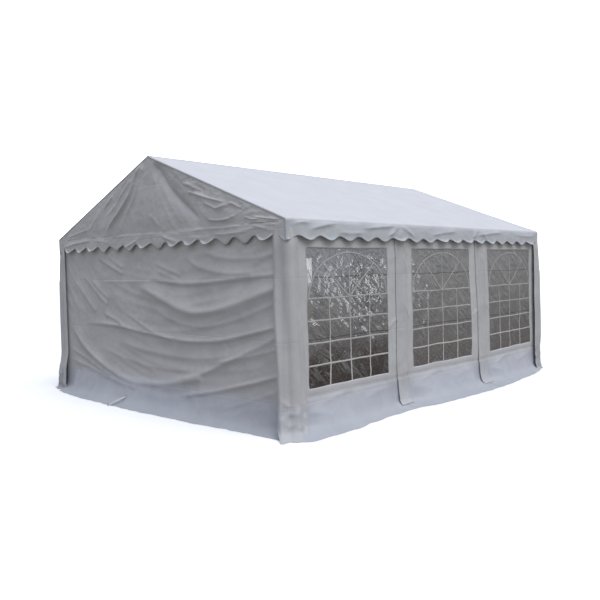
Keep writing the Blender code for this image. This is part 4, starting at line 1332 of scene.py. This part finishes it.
def build_corner_strip(end, end_sign, side, sign):
    """A strip round a corner: about as wide along the turn all the way down, while the turn widens."""
    name = f"{end}_{side}_corner_strip"
    seed = 400 + 10 * end_sign + sign
    foot, high, low, end_edge, side_edge, gape, swing, slide = CORNERS[f"{end}_{side}"]
    places = slide + np.linspace(CORNER_END, CORNER_SIDE, CORNER_COLUMNS)
    own, z = np.meshgrid(places, wall_rows(STRIP_CELL)[:-1])
    lowered = step(1.80, 0.60, z)
    reach = own + CORNER_SPREAD * swing * lowered
    reach = reach - 0.45 * swing * lowered * np.minimum(reach, 0)
    spread = foot * foot_profile(z, 0.30)
    plan_x, plan_y, angle = corner_plan(reach, CORNER_TURN + CORNER_STAND + spread)
    share = np.linspace(0, 1, CORNER_COLUMNS)[None, :]
    middle = (high * step(WALL_TOP, 1.5, z) + low * step(0.60, 0.25, z)) * np.sin(np.pi * share)
    edges = end_edge * step(0.35, 0.0, share) + side_edge * step(0.65, 1.0, share)
    opened = gape * step(0.62, 0.30, z) * step(0.0, 0.12, z) * step(0.30, 0.0, share)
    sway = 0.012 * noise(z / 0.7, 2.0, seed)
    held = step(0.0, 0.16, share) * step(WALL_TOP + 0.05, 2.0, z)
    turns = (own + 0.155 + 0.05 * swing * lowered + sway) / 0.20
    rolls = (0.013 + 0.008 * lowered) * (1 + np.cos(2 * np.pi * turns)) * held
    dents = 0.018 * crumple(own, z, 0.13, seed + 6) * held * step(0.52, 0.25, z) * step(0.0, 0.06, z)
    dents = dents + folds(own, z, CORNER_FOLDS) * held
    swung = 1.5 * swing * lowered * (np.sqrt(np.clip(0.005 - reach, 0, None) ** 2 + 0.015**2) - 0.015)
    edges = edges * step(WALL_TOP, 1.9, z)
    out = 0.009 + np.maximum(rolls + dents, -0.003) + middle + edges + opened + swung
    centre_x, centre_y = WALL_X - CORNER_TURN, WALL_Y - CORNER_TURN
    spots = np.stack(
        [
            sign * (centre_x + plan_x + np.sin(angle) * out),
            end_sign * (centre_y + plan_y + np.cos(angle) * out),
            z,
        ],
        axis=-1,
    )
    flat = np.stack([reach, z], axis=-1)
    piece = add_sheet(name, spots, flat, (sign, end_sign, 0), strip_material)
    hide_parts(f"{end}_{side}_corner_cover")


for end, end_sign in ENDS:
    for side, sign in SIDES:
        build_corner_strip(end, end_sign, side, sign)
print("strips at 4 inner posts and 4 corners")

# %% [markdown]
# ## Steel frame
#
# The tubes and feet come from the frame as they are, and only take on their zinc finish.

# %% Steel frame
WORDS = ("leg", "rail", "rafter", "tie_bar")
tubes = [thing for thing in bpy.data.objects if thing.type == "MESH" and any(w in thing.name for w in WORDS)]
for tube in tubes:
    tube.data.materials.clear()
    tube.data.materials.append(steel_material)
print("zinc finish on", len(tubes), "nodes of the frame")

# %% [markdown]
# ## Ground tie
#
# A short, flat white cord holds the front skirt down. It comes through a steel eyelet in the skirt, and
# runs almost straight over the flap and its hem to a small steel peg. The eyelet is a ring, a small
# circle carried round a larger one, over the cell that was left out of the cloth.

# %% Ground tie
CORD_RADIUS = 0.019
CORD_FLAT = 0.25
EYELET_WIRE = 0.0035
PEG_RADIUS = 0.004
PEG_FROM_EYELET = (-0.075, -0.215)
TUBE_SIDES = 12


def round_mesh(name, path, radius, closed=False, flat=1.0):
    """A tube along a path: circles square to it, or ovals that are flat times as thick as they are wide.

    An open one narrows to nothing at its ends.
    """
    path = np.asarray(path, float)
    ahead = (np.roll(path, -1, axis=0) - np.roll(path, 1, axis=0)) if closed else np.gradient(path, axis=0)
    ahead /= np.linalg.norm(ahead, axis=1)[:, None]
    across = np.cross(ahead, path - path.mean(axis=0)) if closed else np.cross(ahead, (0.0, -0.4, 1.0))
    across /= np.linalg.norm(across, axis=1)[:, None]
    up = flat * np.cross(across, ahead)
    if closed:
        path, across, up = (np.concatenate([rows, rows[:1]]) for rows in (path, across, up))
    angle = np.linspace(0, 2 * np.pi, TUBE_SIDES + 1)
    ring = np.cos(angle)[None, :, None] * across[:, None, :] + np.sin(angle)[None, :, None] * up[:, None, :]
    wide = np.full(len(path), radius)
    if not closed:
        path = np.concatenate([path[:1], path, path[-1:]])
        ring = np.concatenate([ring[:1], ring, ring[-1:]])
        wide = np.concatenate([[1e-5], wide, [1e-5]])
    spots = path[:, None, :] + wide[:, None, None] * ring
    rows, columns = np.meshgrid(np.arange(len(path)), angle, indexing="ij")
    mesh = mesh_from_grid(name, spots, np.stack([rows * 0.01, columns * radius], axis=-1), (0, 0, 0))
    outward = (spots[1, 0] - path[1]) @ np.array(mesh.polygons[TUBE_SIDES].normal)
    if outward < 0:
        mesh.flip_normals()
    return mesh


def build_tie():
    """The eyelet, the cord from behind the cloth down to the peg, and the peg's bent head."""
    middle, across, up = eyelet_cell
    half = 0.5 * np.linalg.norm(across + up)
    across = across / np.linalg.norm(across)
    facing = np.cross(across, up / np.linalg.norm(up))
    up = np.cross(facing, across)
    turns = np.linspace(0, 2 * np.pi, 33)[:-1, None]
    circle = middle + half * (np.cos(turns) * across + np.sin(turns) * up) + 0.001 * facing
    mesh = round_mesh("ground_tie_eyelet", circle, EYELET_WIRE, closed=True)
    add_piece("ground_tie_eyelet", mesh, steel_material)
    peg = np.array([middle[0] + PEG_FROM_EYELET[0], middle[1] + PEG_FROM_EYELET[1], CORD_RADIUS])
    share = np.linspace(0, 1, 24)[:, None]
    start = middle - 0.006 * facing
    cord = start + share * (peg - start) + 0.012 * np.sin(np.pi * share**0.5) * facing
    mesh = round_mesh("ground_tie_cord", cord, CORD_RADIUS, flat=CORD_FLAT)
    add_piece("ground_tie_cord", mesh, cord_material)
    bend = np.linspace(-0.5 * np.pi, 0.75 * np.pi, 16)
    hook = np.stack([0.012 * np.cos(bend), -0.012 * np.cos(bend), 0.014 + 0.012 * np.sin(bend)], axis=-1)
    stake = np.concatenate([[[-0.010, 0.010, 0.004]], hook])
    path = stake + (peg[0] - 0.010, peg[1] - 0.006, 0.004)
    mesh = round_mesh("ground_tie_peg", path, PEG_RADIUS)
    add_piece("ground_tie_peg", mesh, steel_material)
    print("ground tie: eyelet, cord and peg")


build_tie()

# %% [markdown]
# ## Studio
#
# Light comes as on a bright, hazy day: a dim glow from all round, a wide soft sun high on the right,
# and one panel that only the films mirror. The sun hardly reaches the front gable, so it is the darker
# side. The floor looks white, but gives back little light, as grass or gravel would. Through two windows
# on opposite sides the eye meets a pale distance.

# %% Light
ZENITH = 0.86
HORIZON = 0.37
PAST_FLOOR = 2.0
SUN = 1.20
SUN_WIDTH = 40
SUN_FROM = (0.52, 0.0, 0.85)
GLINT_PLACE = (7.44, 4.44, 1.3)
GLINT_TARGET = (2.5, -1.72, 1.39)


def add_lamp(name, kind, place, target, **settings):
    """A lamp with its settings, turned towards a target."""
    lamp = bpy.data.lights.new(name, kind)
    for key, value in settings.items():
        setattr(lamp, key, value)
    light = bpy.data.objects.new(name, lamp)
    bpy.context.scene.collection.objects.link(light)
    ahead = np.array(target, float) - np.array(place, float)
    ahead /= np.linalg.norm(ahead)
    light.matrix_world = looking(place, level_right(ahead), ahead)
    return light


def add_glow():
    """A sky that is brighter and bluer overhead, and plain white where the camera sees past the floor."""
    world = bpy.data.worlds.new("studio")
    bpy.context.scene.world = world
    world.use_nodes = True
    tree = world.node_tree
    way = node(tree, "TexCoord", {}, "Generated")
    up = node(tree, "SeparateXYZ", {"Vector": way}, "Z")
    sky = node(tree, "ValToRGB", {"Fac": up}, stops=[(0.0, "#FBFAF8"), (1.0, "#D9E6FF")])
    strength = node(tree, "MapRange", {"Value": up, "To Min": HORIZON, "To Max": ZENITH})
    light = node(tree, "Background", {"Color": sky, "Strength": strength})
    white = node(tree, "Background", {"Color": linear("#FFFFFF"), "Strength": PAST_FLOOR})
    seen = node(tree, "LightPath", {}, "Is Camera Ray")
    both = node(tree, "MixShader", {0: seen, 1: light, 2: white})
    feed(tree, tree.nodes["World Output"], {"Surface": both})


add_glow()
add_lamp("soft_sun", "SUN", SUN_FROM, (0, 0, 0), energy=SUN, angle=math.radians(SUN_WIDTH))
panel = {"size": 0.9, "energy": 1.2, "spread": math.radians(60)}
glint = add_lamp("glint_panel", "AREA", GLINT_PLACE, GLINT_TARGET, **panel)
glint.visible_diffuse = False
films = bpy.data.collections.new("films")
for thing in bpy.data.objects:
    if "window_film" in thing.name:
        films.objects.link(thing)
glint.light_linking.receiver_collection = films
bpy.context.scene.view_settings.view_transform = "Standard"

# %% Floor
FLOOR_HALF = 150.0
FLOOR_GLOW = 0.27
# Painted shade: seen through the film, the floor inside the tent is dark brown
FLOOR_INSIDE_PAINTED_SHADE = "#6E6256"
FAR_FROM = 50.0
FAR_GLOW = 2.0

# The shares of red, green and blue light that the floor gives back, already linear
FLOOR_GIVES = (0.19, 0.18, 0.17, 1.0)


def add_floor():
    """A white floor with a glow of its own, so that it stays white to the horizon, with soft shadows.

    The near glow is only for the eye. Behind the film the floor is painted dark brown, as shade for the
    tent's inside, and only the distance glows.
    """
    ends = np.array([-FLOOR_HALF, FLOOR_HALF])
    x, y = np.meshgrid(ends, ends)
    spots = np.stack([x, y, np.full_like(x, -CLOTH)], axis=-1)
    mesh = mesh_from_grid("floor", spots, spots[..., :2], (0, 0, 1))
    floor = bpy.data.objects.new("floor", mesh)
    bpy.context.scene.collection.objects.link(floor)
    sockets = {"Roughness": 1.0, "Specular_IOR_Level": 0.0, "Emission_Color": linear("#FFFFFF")}
    material, tree, shader = new_material("white_floor", **sockets)
    path = node(tree, "LightPath", {}, None)
    behind = node(tree, "Math", {0: path["Transparent Depth"], 1: 0.5}, operation="GREATER_THAN")
    bare = node(tree, "Math", {0: 1.0, 1: behind}, operation="SUBTRACT")
    seen = node(tree, "Math", {0: path["Is Camera Ray"], 1: bare}, operation="MULTIPLY")
    inputs = {"Fac": behind, "Color1": FLOOR_GIVES, "Color2": linear(FLOOR_INSIDE_PAINTED_SHADE)}
    dull = node(tree, "MixRGB", inputs)
    colour = node(tree, "MixRGB", {"Fac": seen, "Color1": dull, "Color2": linear("#FFFFFF")})
    place = node(tree, "TexCoord", {}, "Object")
    away = node(tree, "VectorMath", {0: place}, "Value", operation="LENGTH")
    inputs = {"Value": away, "From Min": FAR_FROM, "From Max": 1.5 * FAR_FROM, "To Max": FAR_GLOW}
    far = node(tree, "MapRange", inputs)
    far = node(tree, "Math", {0: far, 1: behind}, operation="MULTIPLY")
    glow = node(tree, "Math", {0: seen, 1: FLOOR_GLOW, 2: far}, operation="MULTIPLY_ADD")
    feed(tree, shader, {"Base Color": colour, "Emission Strength": glow})
    mesh.materials.append(material)


add_floor()
print(f"floor {2 * FLOOR_HALF:.0f} m wide")
